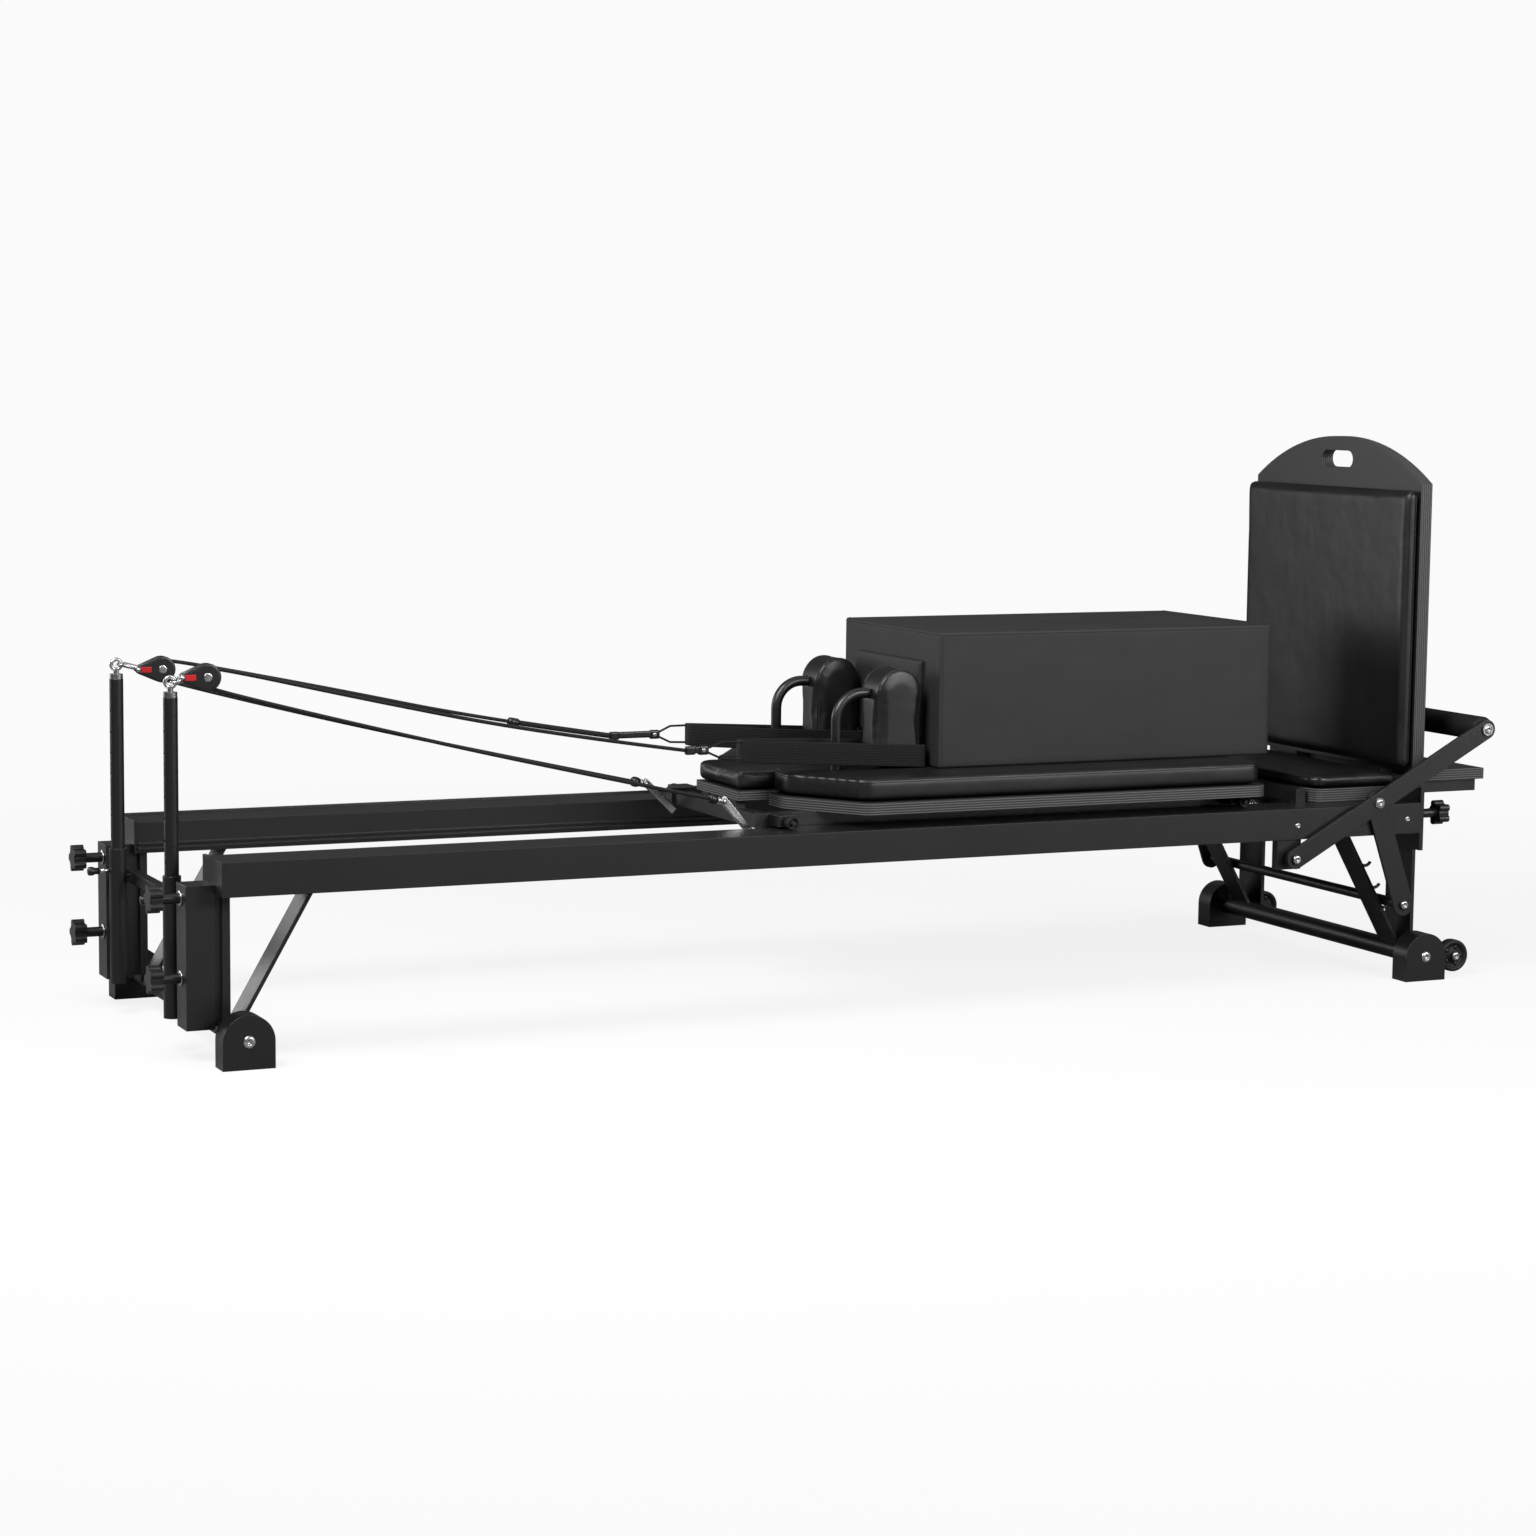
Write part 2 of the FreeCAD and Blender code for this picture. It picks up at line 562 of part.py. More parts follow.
def sheave(name, side):
    """A grooved wheel: the rope lies in a round groove cut in its rim."""
    wheel_x, wheel_z = hub(name)
    centre = side * value("post_half")
    low = centre - value("sheave_width") / 2
    disc = rod("y", f"{wheel_x}", f"{low}", f"{wheel_z}", "sheave_radius", "sheave_width")
    bore = rod("y", f"{wheel_x}", f"{low - 1}", f"{wheel_z}", "sheave_axle + pin_play",
               "sheave_width + 2")
    groove = doc.addObject("Part::Torus", "groove")
    groove.setExpression("Radius1", on_sheet("sheave_radius"))
    groove.setExpression("Radius2", on_sheet("rope_thick / 2 + 0.4"))
    groove.Placement = FreeCAD.Placement(FreeCAD.Vector(wheel_x, centre, wheel_z),
                                         FreeCAD.Rotation(FreeCAD.Vector(1, 0, 0), 90))
    return cut(disc, bore, groove)


# Each rope runs tight from its strap's clasp to the sheave, round it, and back to the cleat
# under the headrest. The points are the corners of its route, as X, Y and Z.
ROPES = {
    "near": [(-349.5, -185, 491.0), (-639.5, -185, 534.0), (-949.5, -185, 600.5),
             (-1250.6, -185, 670.7), (-1264.0, -185, 662.0), (-1267.5, -185, 646.5),
             (-1259.0, -185, 632.9), (-939.5, -185, 549.5), (-619.5, -185, 471.5),
             (-301.5, -185, 400.5)],
    "far": [(-348.5, 185, 481.0), (-611.5, 185, 522.5), (-921.5, 185, 591.0),
            (-1230.8, 185, 653.2), (-1244.2, 185, 644.5), (-1247.7, 185, 629.0),
            (-1239.2, 185, 615.4), (-919.5, 185, 532.0), (-609.5, 185, 459.0),
            (-301.5, 185, 391.0)],
}


def cord(name, points, diameter):
    """A tube along straight runs joined by tangent arcs."""
    corners = [FreeCAD.Vector(*p) for p in points]
    edges = []
    radii = []
    start = corners[0]
    for before, corner, after in zip(corners, corners[1:], corners[2:]):
        back = (before - corner).normalize()
        ahead = (after - corner).normalize()
        half_turn = (math.pi - back.getAngle(ahead)) / 2
        shorter = min((before - corner).Length, (after - corner).Length)
        leg = 0.45 * shorter
        radii.append(leg / math.tan(half_turn))
        first = corner + back * leg
        last = corner + ahead * leg
        middle = corner + (back + ahead).normalize() * (
            radii[-1] / math.cos(half_turn) - radii[-1])
        edges.append(Part.LineSegment(start, first).toShape())
        edges.append(Part.Arc(first, middle, last).toShape())
        start = last
    edges.append(Part.LineSegment(start, corners[-1]).toShape())
    path = Part.Wire(edges)
    first_run = corners[1] - corners[0]
    ring = Part.Wire(Part.makeCircle(diameter / 2, corners[0], first_run))
    tube = path.makePipeShell([ring], True, True)
    length = sum(e.Length for e in edges)
    ideal = math.pi * diameter ** 2 / 4 * length
    print(f"{name}: length {length:.0f} mm, volume {tube.Volume / ideal:.3f} of ideal, radii",
          ", ".join(f"{r:.0f}" for r in radii))
    thing = doc.addObject("Part::Feature", "cord")
    thing.Shape = tube
    return thing


def ropes():
    for name, points in ROPES.items():
        node("rope_" + name, cord("rope_" + name, points, value("rope_thick")))


# ---------------------------------------------------------------- carriage
def board_outline(lap):
    """The carriage's outline: square at the footbar end, and at the head end cut corners and a
    notch for the headrest."""
    start = f"carriage_start - {lap}"
    end = f"carriage_end + {lap}"
    half = f"carriage_half + {lap}"
    shoulder = f"carriage_start + chamfer_long - {lap} / 2"
    nose = f"notch_half + nose_land + {lap} / 2"
    notch = "head_end + face_gap"
    return [(start, f"-({nose})"), (shoulder, f"-({half})"), (end, f"-({half})"), (end, half),
            (shoulder, half), (start, nose), (start, "notch_half"), (notch, "notch_half"),
            (notch, "-notch_half"), (start, "-notch_half")]


def chassis():
    """The frame under the carriage: side bars, cross bars and the wheels' axles."""
    parts = []
    inner = "chassis_half - chassis_bar + 1"
    for _, side in SIDES:
        parts.append(side_box(side, "carriage_start - nose_out", "carriage_end + tail_out",
                              "chassis_half - chassis_bar", "chassis_half", "chassis_low",
                              "board_low"))
        for wheel in ("wheel_front", "wheel_rear"):
            parts.append(side_box(side, f"{wheel} - hanger_half", f"{wheel} + hanger_half",
                                  "chassis_half - 1", "wheel_inner - 2", "track + 4",
                                  "board_low"))
            parts.append(side_rod(side, wheel, "wheel_z", "wheel_inner - 8",
                                  "wheel_inner + wheel_width + 4", "wheel_axle"))
    for start in ("carriage_start + 153", "carriage_end - 125"):
        parts.append(box(start, f"{start} + 40", f"-({inner})", inner, "chassis_low + 4",
                         "board_low"))
    parts.append(box("spring_start - 10", "spring_start", f"-({inner})", inner,
                     "board_low - spring_drop", "board_low"))
    parts.append(box("head_start - 3", "head_start + 27", f"-({inner})", inner, "chassis_low",
                     "board_low - 6"))
    for _, side in SIDES:
        parts.append(side_box(side, "head_start + 3", "head_start + 23", 50, 80,
                              "board_low - 7", "head_low"))
    return joined(*parts)


def carriage():
    node("carriage_board", plate("xy", board_outline("board_lap"), "board_thick", z="board_low",
                                 soften=25, corners=range(6)))
    pad = plate("xy", board_outline("0"), "pad_thick", z="board_high", soften=30,
                corners=range(6))
    middle = "rest_inner + rest_width / 2"
    sockets = [rod("z", "rest_x - post_ahead", f"{side} * ({middle})", "board_high",
                   "rest_post + face_gap", "pad_thick + 1") for _, side in SIDES]
    node("carriage_pad", cut(pad, *sockets))
    node("carriage_chassis", chassis())
    for name, side in SIDES:
        for end in ("front", "rear"):
            wheel = "wheel_" + end
            tread = side_rod(side, wheel, "wheel_z", "wheel_inner", "wheel_inner + wheel_width",
                             "wheel_radius")
            bore = side_rod(side, wheel, "wheel_z", "wheel_inner - 1",
                            "wheel_inner + wheel_width + 1", "wheel_axle + pin_play")
            node(f"carriage_wheel_{end}_{name}", cut(tread, bore))
    cleats()
    headrest()
    shoulder_rests()
    strap_loops()
    node("sitting_box", joined(
        soft_block("box_x", "box_x + box_length", "-box_width / 2", "box_width / 2", "pad_high",
                   "pad_high + box_height", 6),
        soft_block("box_x - panel_proud", "box_x + 8", "-panel_half", "panel_half",
                   "pad_high + panel_low", "pad_high + panel_high", 8)))


def cleats():
    """What holds the rope's lower end: a ball grip, a clamp and a sloping bar on the chassis."""
    things = []
    for name, _ in SIDES:
        before = FreeCAD.Vector(*ROPES[name][-2])
        end = FreeCAD.Vector(*ROPES[name][-1])
        ahead = (end - before).normalize()
        turn = FreeCAD.Rotation(FreeCAD.Vector(0, 0, 1), ahead)
        barrels = []
        for start, length, radius in ((0.05, 18, value("grip_ball")),
                                      (17, 19, value("clamp_radius"))):
            barrel = doc.addObject("Part::Cylinder", "barrel")
            barrel.Radius = radius
            barrel.Height = length
            barrel.Placement = FreeCAD.Placement(end + ahead * start, turn)
            barrels.append(barrel)
        doc.recompute()
        ball = doc.addObject("Part::Fillet", "ball")
        ball.Base = barrels[0]
        round_edges = [i for i, edge in enumerate(barrels[0].Shape.Edges, 1) if edge.isClosed()]
        ball.Edges = [(i, 5, 5) for i in round_edges]
        at = end + ahead * 34
        slope = [(f"{at.x}", f"{at.z} - 6"), ("head_start - 3", "chassis_low + 4"),
                 ("head_start - 3", "chassis_low + 17"), (f"{at.x}", f"{at.z} + 6")]
        bar = plate("xz", slope, 10, y=f"{end.y + 5}")
        things.append(joined(ball, barrels[1], bar))
    node("rope_cleats", group(*things))


def headrest():
    node("headrest_base", box("head_start", "head_end", "-head_half", "head_half",
                              "head_low", "pad_high - head_pad"))
    node("headrest_pad", soft_block("head_start", "head_end", "-head_half", "head_half",
                                    "pad_high - head_pad", "pad_high", 10))


def shoulder_rests():
    """Two arched pads, each on a bent tube that stands in a socket in the carriage."""
    for name, side in SIDES:
        low = "rest_x"
        high = "rest_x + rest_depth"
        spring = "rest_high - rest_depth / 2"
        centre = "rest_x + rest_depth / 2"
        outline = [(low, "rest_low"), (high, "rest_low"), (high, spring, (centre, spring)),
                   (low, spring)]
        face = "rest_outer" if side > 0 else "-rest_inner"
        node("shoulder_pad_" + name, plate("xz", outline, "rest_width", y=face))
        middle = side * value("rest_inner + rest_width / 2")
        foot_x = value("rest_x - post_ahead")
        bend = value("post_bend")
        rise = value("rest_high - post_drop")
        start = FreeCAD.Vector(foot_x, middle, value("board_high + face_gap"))
        low_end = FreeCAD.Vector(foot_x, middle, rise - bend)
        short = bend * (1 - math.sqrt(0.5))
        halfway = FreeCAD.Vector(foot_x + short, middle, rise - short)
        high_end = FreeCAD.Vector(foot_x + bend, middle, rise)
        path = Part.Wire([
            Part.LineSegment(start, low_end).toShape(),
            Part.Arc(low_end, halfway, high_end).toShape(),
            Part.LineSegment(high_end, FreeCAD.Vector(value("rest_x"), middle, rise)).toShape()])
        ring = Part.Wire(Part.makeCircle(value("rest_post"), start, FreeCAD.Vector(0, 0, 1)))
        tube = doc.addObject("Part::Feature", "tube")
        tube.Shape = path.makePipeShell([ring], True, True)
        node("shoulder_post_" + name, tube)


TIPS = {"near": 122, "far": 150}
BAND_SLOPE = 0.055


def strap_loops():
    """Wide webbing loops laid round the shoulder rests, rising towards the clasps that tie them
    to the ropes."""
    bands = []
    clasps = []
    thick = value("band_thick")
    back = value("rest_x + rest_depth + band_gap") + thick
    crook = value("rest_x - 90")
    low = value("pad_high + 1")
    for name, side in SIDES:
        inner = side * value("rest_inner - band_gap - band_thick")
        outer = side * value("rest_outer + band_gap + band_thick")
        tip = ROPES[name][0][0] + TIPS[name]
        wall = thick * side
        shell = [(back, outer), (crook, outer), (tip, outer - 6 * side),
                 (tip, outer - 40 * side), (crook, inner), (back, inner)]
        hole = [(back - thick, outer - wall), (crook, outer - wall),
                (tip + thick, outer - 6 * side - wall),
                (tip + thick, outer - 40 * side + 1.2 * wall), (crook, inner + wall),
                (back - thick, inner + wall)]
        solids = []
        for outline in (shell, hole):
            corners = [FreeCAD.Vector(x, y, low + BAND_SLOPE * (back - x)) for x, y in outline]
            face = Part.Face(Part.makePolygon(corners + [corners[0]]))
            solids.append(face.extrude(FreeCAD.Vector(0, 0, value("band_height"))))
        band = doc.addObject("Part::Feature", "band")
        band.Shape = solids[0].cut(solids[1])
        bands.append(band)
        middle = low + BAND_SLOPE * (back - tip) + value("band_height") / 2
        tie_end = FreeCAD.Vector(tip - 1.2, outer - 14 * side, middle)
        clasps.append(clasp(ROPES[name][0], value("clasp_" + name), tie_end))
    node("strap_loops", group(*bands))
    node("strap_clasps", group(*clasps))


def clasp(start, length, end):
    """A flat clasp at the rope's end with a short tie to the loop."""
    x, y, z = start
    block = box(f"{x + 0.8}", f"{x + length}", f"{y - 4}", f"{y + 4}", f"{z - 8}", f"{z + 6}")
    away = FreeCAD.Vector(x + length - 4, y, z - 1)
    ring = Part.Wire(Part.makeCircle(2.5, away, end - away))
    tie = doc.addObject("Part::Feature", "tie")
    tie.Shape = Part.Wire(Part.LineSegment(away, end).toShape()).makePipeShell([ring], True, True)
    return joined(block, tie)


# ---------------------------------------------------------------- footbar
def bar(length, width, thick, holes):
    """A flat bar with round ends along +X from its first hole, thick along +Y."""
    solid = joined(box(0, length, 0, thick, f"-({width}) / 2", f"({width}) / 2"),
                   rod("y", 0, 0, 0, f"({width}) / 2", thick),
                   rod("y", length, 0, 0, f"({width}) / 2", thick))
    tools = [rod("y", at, -1, 0, f"({radius}) + pin_play", f"({thick}) + 2") for at, radius in holes]
    return cut(solid, *tools)


def turned(thing, angle, x, y, z):
    """Tilt a bar up by an angle about its first hole and put it in place."""
    thing.Placement.Rotation = FreeCAD.Rotation(FreeCAD.Vector(0, -1, 0), value(angle))
    return place(thing, x, y, z)


def footbar():
    arms = []
    pins = []
    props = []
    rods = [rod("y", "rod_x", "-prop_inner", "rod_z", "rod_radius", "2 * prop_inner")]
    link_x = "pivot_x + prop_place * cos(arm_tilt * 1deg)"
    link_z = "pivot_height + prop_place * sin(arm_tilt * 1deg)"
    for _, side in SIDES:
        arm_y = "arm_inner" if side > 0 else "-arm_inner - arm_thick"
        holes = ((0, "pin_radius"), ("prop_place", "pin_radius - pin_play"),
                 ("arm_length", "rod_radius - 2 * pin_play"))
        arms.append(turned(bar("arm_length", "arm_width", "arm_thick", holes), "arm_tilt",
                           "pivot_x", arm_y, "pivot_height"))
        prop_y = "prop_inner" if side > 0 else "-prop_inner - prop_thick"
        holes = ((0, "pin_radius"), ("prop_length", "pin_radius - 2 * pin_play"))
        props.append(turned(bar("prop_length", "prop_width", "prop_thick", holes), "-prop_tilt",
                            link_x, prop_y, link_z))
        pins.append(joined(
            side_rod(side, link_x, link_z, "prop_inner + 0.5", "arm_outer + 1", "pin_radius"),
            side_rod(side, link_x, link_z, "arm_outer", "arm_outer + head_thick", "pin_head")))
        rods.append(joined(
            side_rod(side, "rod_x", "rod_z", "prop_inner - 1", "prop_inner + prop_thick + 0.5",
                     "pin_radius - pin_play"),
            side_rod(side, "rod_x", "rod_z", "prop_inner + prop_thick",
                     "prop_inner + prop_thick + head_thick", "pin_head")))
    axle = rod("y", "bar_x", "-arm_outer - 1", "bar_z", "rod_radius - pin_play",
               "2 * arm_outer + 2")
    heads = [side_rod(side, "bar_x", "bar_z", "arm_outer", "arm_outer + head_thick",
                      "rod_radius + 2") for _, side in SIDES]
    node("footbar_arms", group(*arms))
    node("footbar_pins", group(joined(axle, *heads), *pins))
    grip = rod("y", "bar_x", "-(arm_inner - 3)", "bar_z", "grip_radius", "2 * (arm_inner - 3)")
    bore = rod("y", "bar_x", "-arm_inner", "bar_z", "rod_radius", "2 * arm_inner")
    node("footbar_grip", cut(grip, bore))
    node("prop_links", group(*props))
    node("prop_rod", joined(*rods))


def hook(side, x, z):
    """An open hook on a strut: a bent wire under the prop rod, open above and behind."""
    wire = doc.addObject("Part::Torus", "hook")
    wire.setExpression("Radius1", on_sheet("hook_radius"))
    wire.setExpression("Radius2", on_sheet("hook_wire"))
    wire.Angle3 = 150
    upside = FreeCAD.Rotation(FreeCAD.Vector(0, -1, 0), 180)
    wire.Placement.Rotation = upside.multiply(FreeCAD.Rotation(FreeCAD.Vector(1, 0, 0), 90))
    place(wire, x, f"{side} * hook_half", z)
    start = f"tube_end - (({z}) - tube_height) * strut_lean"
    stub = rod("x", start, f"{side} * hook_half", z, "hook_wire",
               f"({x}) - hook_radius + 1 - ({start})")
    return cut(joined(wire, stub), strut(side, "tube_end", "rail_end - strut_foot"))


def supports():
    """The pivot brackets under the rails and the open hooks that the prop rod rests in."""
    things = []
    for _, side in SIDES:
        things.append(joined(
            side_box(side, "pivot_x - 30", "pivot_x + 24", "frame_half - 22", "frame_half - 4",
                     "pivot_height - 22", "rail_low"),
            side_rod(side, "pivot_x", "pivot_height", "frame_half - 5", "arm_outer + 1",
                     "pin_radius"),
            side_rod(side, "pivot_x", "pivot_height", "arm_outer + 0.5",
                     "arm_outer + head_thick", "pin_head")))
        for rise, shift in ((0, 0), (41, 24.5), (86, 47.5)):
            things.append(hook(side, f"rod_x - {shift}", f"rod_z + {rise}"))
    node("footbar_supports", group(*things))


# ---------------------------------------------------------------- footbar end
def foot_end():
    node("spring_bar", joined(
        box("platform_start - 22", "platform_start", "-(rail_inner + 12)", "rail_inner + 12",
            "track", "base_high"),
        box("platform_start - 18", "platform_start - 8", "-(rail_inner - 24)", "rail_inner - 24",
            "track - 29", "track + 1")))
    coils = []
    for i in range(-2, 3):
        coils.append(rod("x", "spring_start", f"{i} * spring_pitch", "track - 17",
                         "spring_radius", "platform_start - 18 - spring_start"))
    node("springs", group(*coils))
    start = "platform_start"
    end = "platform_end"
    half = "platform_half"
    nose = f"{half} - platform_cut"
    shoulder = f"{start} + platform_nose"
    outline = [(start, f"-({nose})"), (shoulder, f"-{half}"), (end, f"-{half}"), (end, half),
               (shoulder, half), (start, nose)]
    node("platform_base", plate("xy", outline, "platform_base", z="track", soften=12,
                                corners=(0, 1, 4, 5)))
    node("platform_pad", plate("xy", outline, "platform_pad", z="base_high", soften=25,
                               corners=(0, 1, 4, 5)))
    node("deck_board", box("jump_back + board_play", "jump_back + deck_length", "-platform_half",
                           "platform_half", "deck_low", "deck_top"))
    node("jump_board", jump_board())
    node("jump_board_pad", soft_block("jump_x - jump_pad", "jump_x", "-(jump_half - 2)",
                                      "jump_half - 2", "jump_pad_low", "jump_pad_high", 12))
    for name, side in SIDES:
        node("board_knob_" + name,
             knob("rail_end + bar_thick", f"{side} * board_knob_y", "board_knob_z", 1,
                  "board_stem"))
        node("transport_wheel_" + name, transport_wheel(side))


def jump_board():
    """A board with an arched top, a hand slot, and two tongues that drop behind the deck."""
    crown = "jump_shoulder + jump_rise - jump_radius"
    outline = [("-jump_half", "jump_low"), ("jump_half", "jump_low"),
               ("jump_half", "jump_shoulder", ("0", crown)), ("-jump_half", "jump_shoulder")]
    face = plate("yz", outline, "jump_thick", x="jump_x")
    tongues = [side_box(side, "jump_x", "jump_back", "tongue_inner", "tongue_outer",
                        "tongue_low", "jump_low + 1")
               for _, side in SIDES]
    flat = "slot_long - slot_high"
    slot = [box("jump_x - 1", "jump_back + 1", f"-({flat}) / 2", f"({flat}) / 2",
                "slot_centre - slot_high / 2", "slot_centre + slot_high / 2")]
    for _, side in SIDES:
        slot.append(rod("x", "jump_x - 1", f"{side} * ({flat}) / 2", "slot_centre",
                        "slot_high / 2", "jump_thick + 2"))
    return cut(joined(face, *tongues), *slot)


def transport_wheel(side):
    wheel = side_rod(side, "roller_x", "roller_height", "foot_inner - 6",
                     "foot_inner - 6 + roller_width", "roller_radius")
    bore = side_rod(side, "roller_x", "roller_height", "foot_inner - 7",
                    "foot_inner + roller_width", "pin_radius + pin_play")
    return cut(wheel, bore)


def wheel_forks():
    """Flat arms from the cross tube that carry the transport wheels' axles."""
    things = []
    wheel_outer = "foot_inner - 6 + roller_width"
    for _, side in SIDES:
        arm = joined(
            side_box(side, "tube_end", "roller_x + 8", "foot_inner - 6 - fork_gap - fork_thick",
                     "foot_inner - 6 - fork_gap", "roller_height - 8", "roller_height + 12"),
            side_rod(side, "roller_x", "roller_height", "foot_inner - 7 - fork_gap",
                     f"{wheel_outer} + 1", "pin_radius"),
            side_rod(side, "roller_x", "roller_height", f"{wheel_outer} + 0.5",
                     f"{wheel_outer} + head_thick", "pin_head"))
        things.append(cut(arm, cross_tube("tube_end")))
    return things


frame()
risers()
ropes()
carriage()
footbar()
supports()
foot_end()
doc.recompute()

for thing in doc.Objects:
    if "Invalid" in thing.State or "Error" in thing.State:
        raise RuntimeError(f"{thing.Label} did not compute: {thing.State}")
os.makedirs("parts", exist_ok=True)
for old in os.listdir("parts"):
    os.remove(os.path.join("parts", old))
extent = FreeCAD.BoundBox()
for label, thing in NODES.items():
    shape = thing.Shape
    if shape.isNull() or not shape.isValid():
        raise RuntimeError(f"{label} is not a valid shape")
    extent.add(shape.BoundBox)
    shape.exportStep(f"parts/{label}.step")
print(len(NODES), "sub-parts; box", extent)
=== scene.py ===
# %% [markdown]
# # A pilates reformer
# The machine is a low black frame with two rails, a sliding upholstered carriage, two risers
# with pulleys and ropes, a footbar and a padded jump board. The engineering model gives every
# rigid part its size and place. This file gives each part its finish, and makes the soft parts:
# cushions, webbing, ropes and springs.

# %% Load the frame
import json
import math

import bmesh
import bpy
import numpy as np
from mathutils import Matrix, Vector

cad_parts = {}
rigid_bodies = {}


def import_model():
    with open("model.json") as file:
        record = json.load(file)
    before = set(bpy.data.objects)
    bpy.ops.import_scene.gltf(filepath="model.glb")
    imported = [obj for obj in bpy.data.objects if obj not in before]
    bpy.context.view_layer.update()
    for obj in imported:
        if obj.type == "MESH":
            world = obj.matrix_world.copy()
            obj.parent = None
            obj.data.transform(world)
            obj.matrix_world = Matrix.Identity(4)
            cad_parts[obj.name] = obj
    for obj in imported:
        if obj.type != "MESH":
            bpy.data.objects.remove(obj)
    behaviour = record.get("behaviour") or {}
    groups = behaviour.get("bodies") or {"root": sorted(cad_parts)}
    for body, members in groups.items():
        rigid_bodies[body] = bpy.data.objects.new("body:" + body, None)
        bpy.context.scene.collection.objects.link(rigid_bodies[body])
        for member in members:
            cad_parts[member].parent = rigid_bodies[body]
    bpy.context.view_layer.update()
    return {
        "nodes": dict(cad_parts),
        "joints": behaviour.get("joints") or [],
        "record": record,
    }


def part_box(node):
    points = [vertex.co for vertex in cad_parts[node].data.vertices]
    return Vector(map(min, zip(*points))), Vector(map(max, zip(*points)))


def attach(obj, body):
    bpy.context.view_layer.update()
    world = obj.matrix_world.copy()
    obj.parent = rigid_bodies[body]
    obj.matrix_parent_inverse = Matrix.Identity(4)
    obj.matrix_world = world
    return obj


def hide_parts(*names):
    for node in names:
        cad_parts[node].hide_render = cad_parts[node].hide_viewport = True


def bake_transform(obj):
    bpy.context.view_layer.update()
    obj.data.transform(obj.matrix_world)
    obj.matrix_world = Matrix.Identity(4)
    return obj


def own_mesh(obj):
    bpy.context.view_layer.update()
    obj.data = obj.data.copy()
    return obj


for leftover in list(bpy.data.objects):
    bpy.data.objects.remove(leftover)
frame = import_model()
NODES = frame["nodes"]
SIDES = (("near", -1), ("far", 1))
print("loaded", len(NODES), "nodes")

# %% [markdown]
# ## Camera
# A long lens from far away keeps the rails nearly parallel. The camera is aimed by turning and
# tilting a plain set of axes, which is easier to read than a rotation copied from a viewport.

# %% Camera
LENS = 82.03
CAMERA_PLACE = Vector((-2.8837, -6.0328, 1.1919))
yaw, pitch, roll = (math.radians(angle) for angle in (24.803, -6.551, 0.643))
forward = Vector((math.sin(yaw) * math.cos(pitch), math.cos(yaw) * math.cos(pitch),
                  math.sin(pitch)))
level = Vector((math.cos(yaw), -math.sin(yaw), 0))
upward = level.cross(forward)
right = level * math.cos(roll) + upward * math.sin(roll)
top = upward * math.cos(roll) - level * math.sin(roll)
camera_data = bpy.data.cameras.new("camera")
camera_data.lens = LENS
camera_data.clip_end = 100
camera = bpy.data.objects.new("camera", camera_data)
camera.matrix_world = (Matrix.Translation(CAMERA_PLACE)
                       @ Matrix((right, top, -forward)).transposed().to_4x4())
bpy.context.collection.objects.link(camera)
bpy.context.scene.camera = camera

# %% [markdown]
# ## How a finish is wired
# Shader trees grow long when every node and link takes its own lines. The helper `add` makes a
# node, sets it and joins its inputs in one call: an input gets either a number or the socket
# that feeds it.


# %% Wiring helpers
def add(tree, kind, feeds=None, **settings):
    """Make a node, set its options, and give each input a value or a link."""
    node = tree.nodes.new(kind)
    for key, setting in settings.items():
        setattr(node, key, setting)
    for key, feed in (feeds or {}).items():
        if isinstance(feed, bpy.types.NodeSocket):
            tree.links.new(feed, node.inputs[key])
        else:
            node.inputs[key].default_value = feed
    return node


def effect(name, inputs, outputs):
    """A shader node group with named inputs, as (name, default), and named outputs."""
    group = bpy.data.node_groups.new(name, "ShaderNodeTree")
    for label, default in inputs:
        kind = "NodeSocketVector" if isinstance(default, tuple) else "NodeSocketFloat"
        socket = group.interface.new_socket(label, in_out="INPUT", socket_type=kind)
        socket.default_value = default
    for label in outputs:
        kind = "NodeSocketVector" if label == "Normal" else "NodeSocketFloat"
        group.interface.new_socket(label, in_out="OUTPUT", socket_type=kind)
    return group, add(group, "NodeGroupInput"), add(group, "NodeGroupOutput")


def maths(tree, operation, first, second=0.0):
    """One sum, as a socket."""
    node = add(tree, "ShaderNodeMath", {0: first, 1: second}, operation=operation)
    return node.outputs[0]


def spread(tree, value, low, high, out_low=0.0, out_high=1.0):
    """Stretch a range of values to another range, and hold it there."""
    node = add(tree, "ShaderNodeMapRange", {"Value": value, "From Min": low, "From Max": high,
                                            "To Min": out_low, "To Max": out_high})
    return node.outputs[0]


# %% [markdown]
# ## Effect: fine grain
# Powder coating, moulded plastic and vinyl all break up the light with a fine grain, over slow
# drifts in tone. One group serves them all with different scales. It reads object coordinates,
# so the grain stays put when a part moves.

# %% Fine grain group
grain_group, given, wanted = effect(
    "fine grain", [("Scale", 500.0), ("Patch Scale", 5.0)], ["Height", "Patch", "Fleck"])
where = add(grain_group, "ShaderNodeTexCoord").outputs["Object"]
fine = add(grain_group, "ShaderNodeTexNoise",
           {"Vector": where, "Scale": given.outputs["Scale"], "Detail": 3.0})
patch = add(grain_group, "ShaderNodeTexNoise",
            {"Vector": where, "Scale": given.outputs["Patch Scale"], "Detail": 4.0})
cells = add(grain_group, "ShaderNodeTexVoronoi",
            {"Vector": where, "Scale": given.outputs["Scale"]})
grain_group.links.new(fine.outputs[0], wanted.inputs["Height"])
grain_group.links.new(spread(grain_group, patch.outputs[0], 0.3, 0.7), wanted.inputs["Patch"])
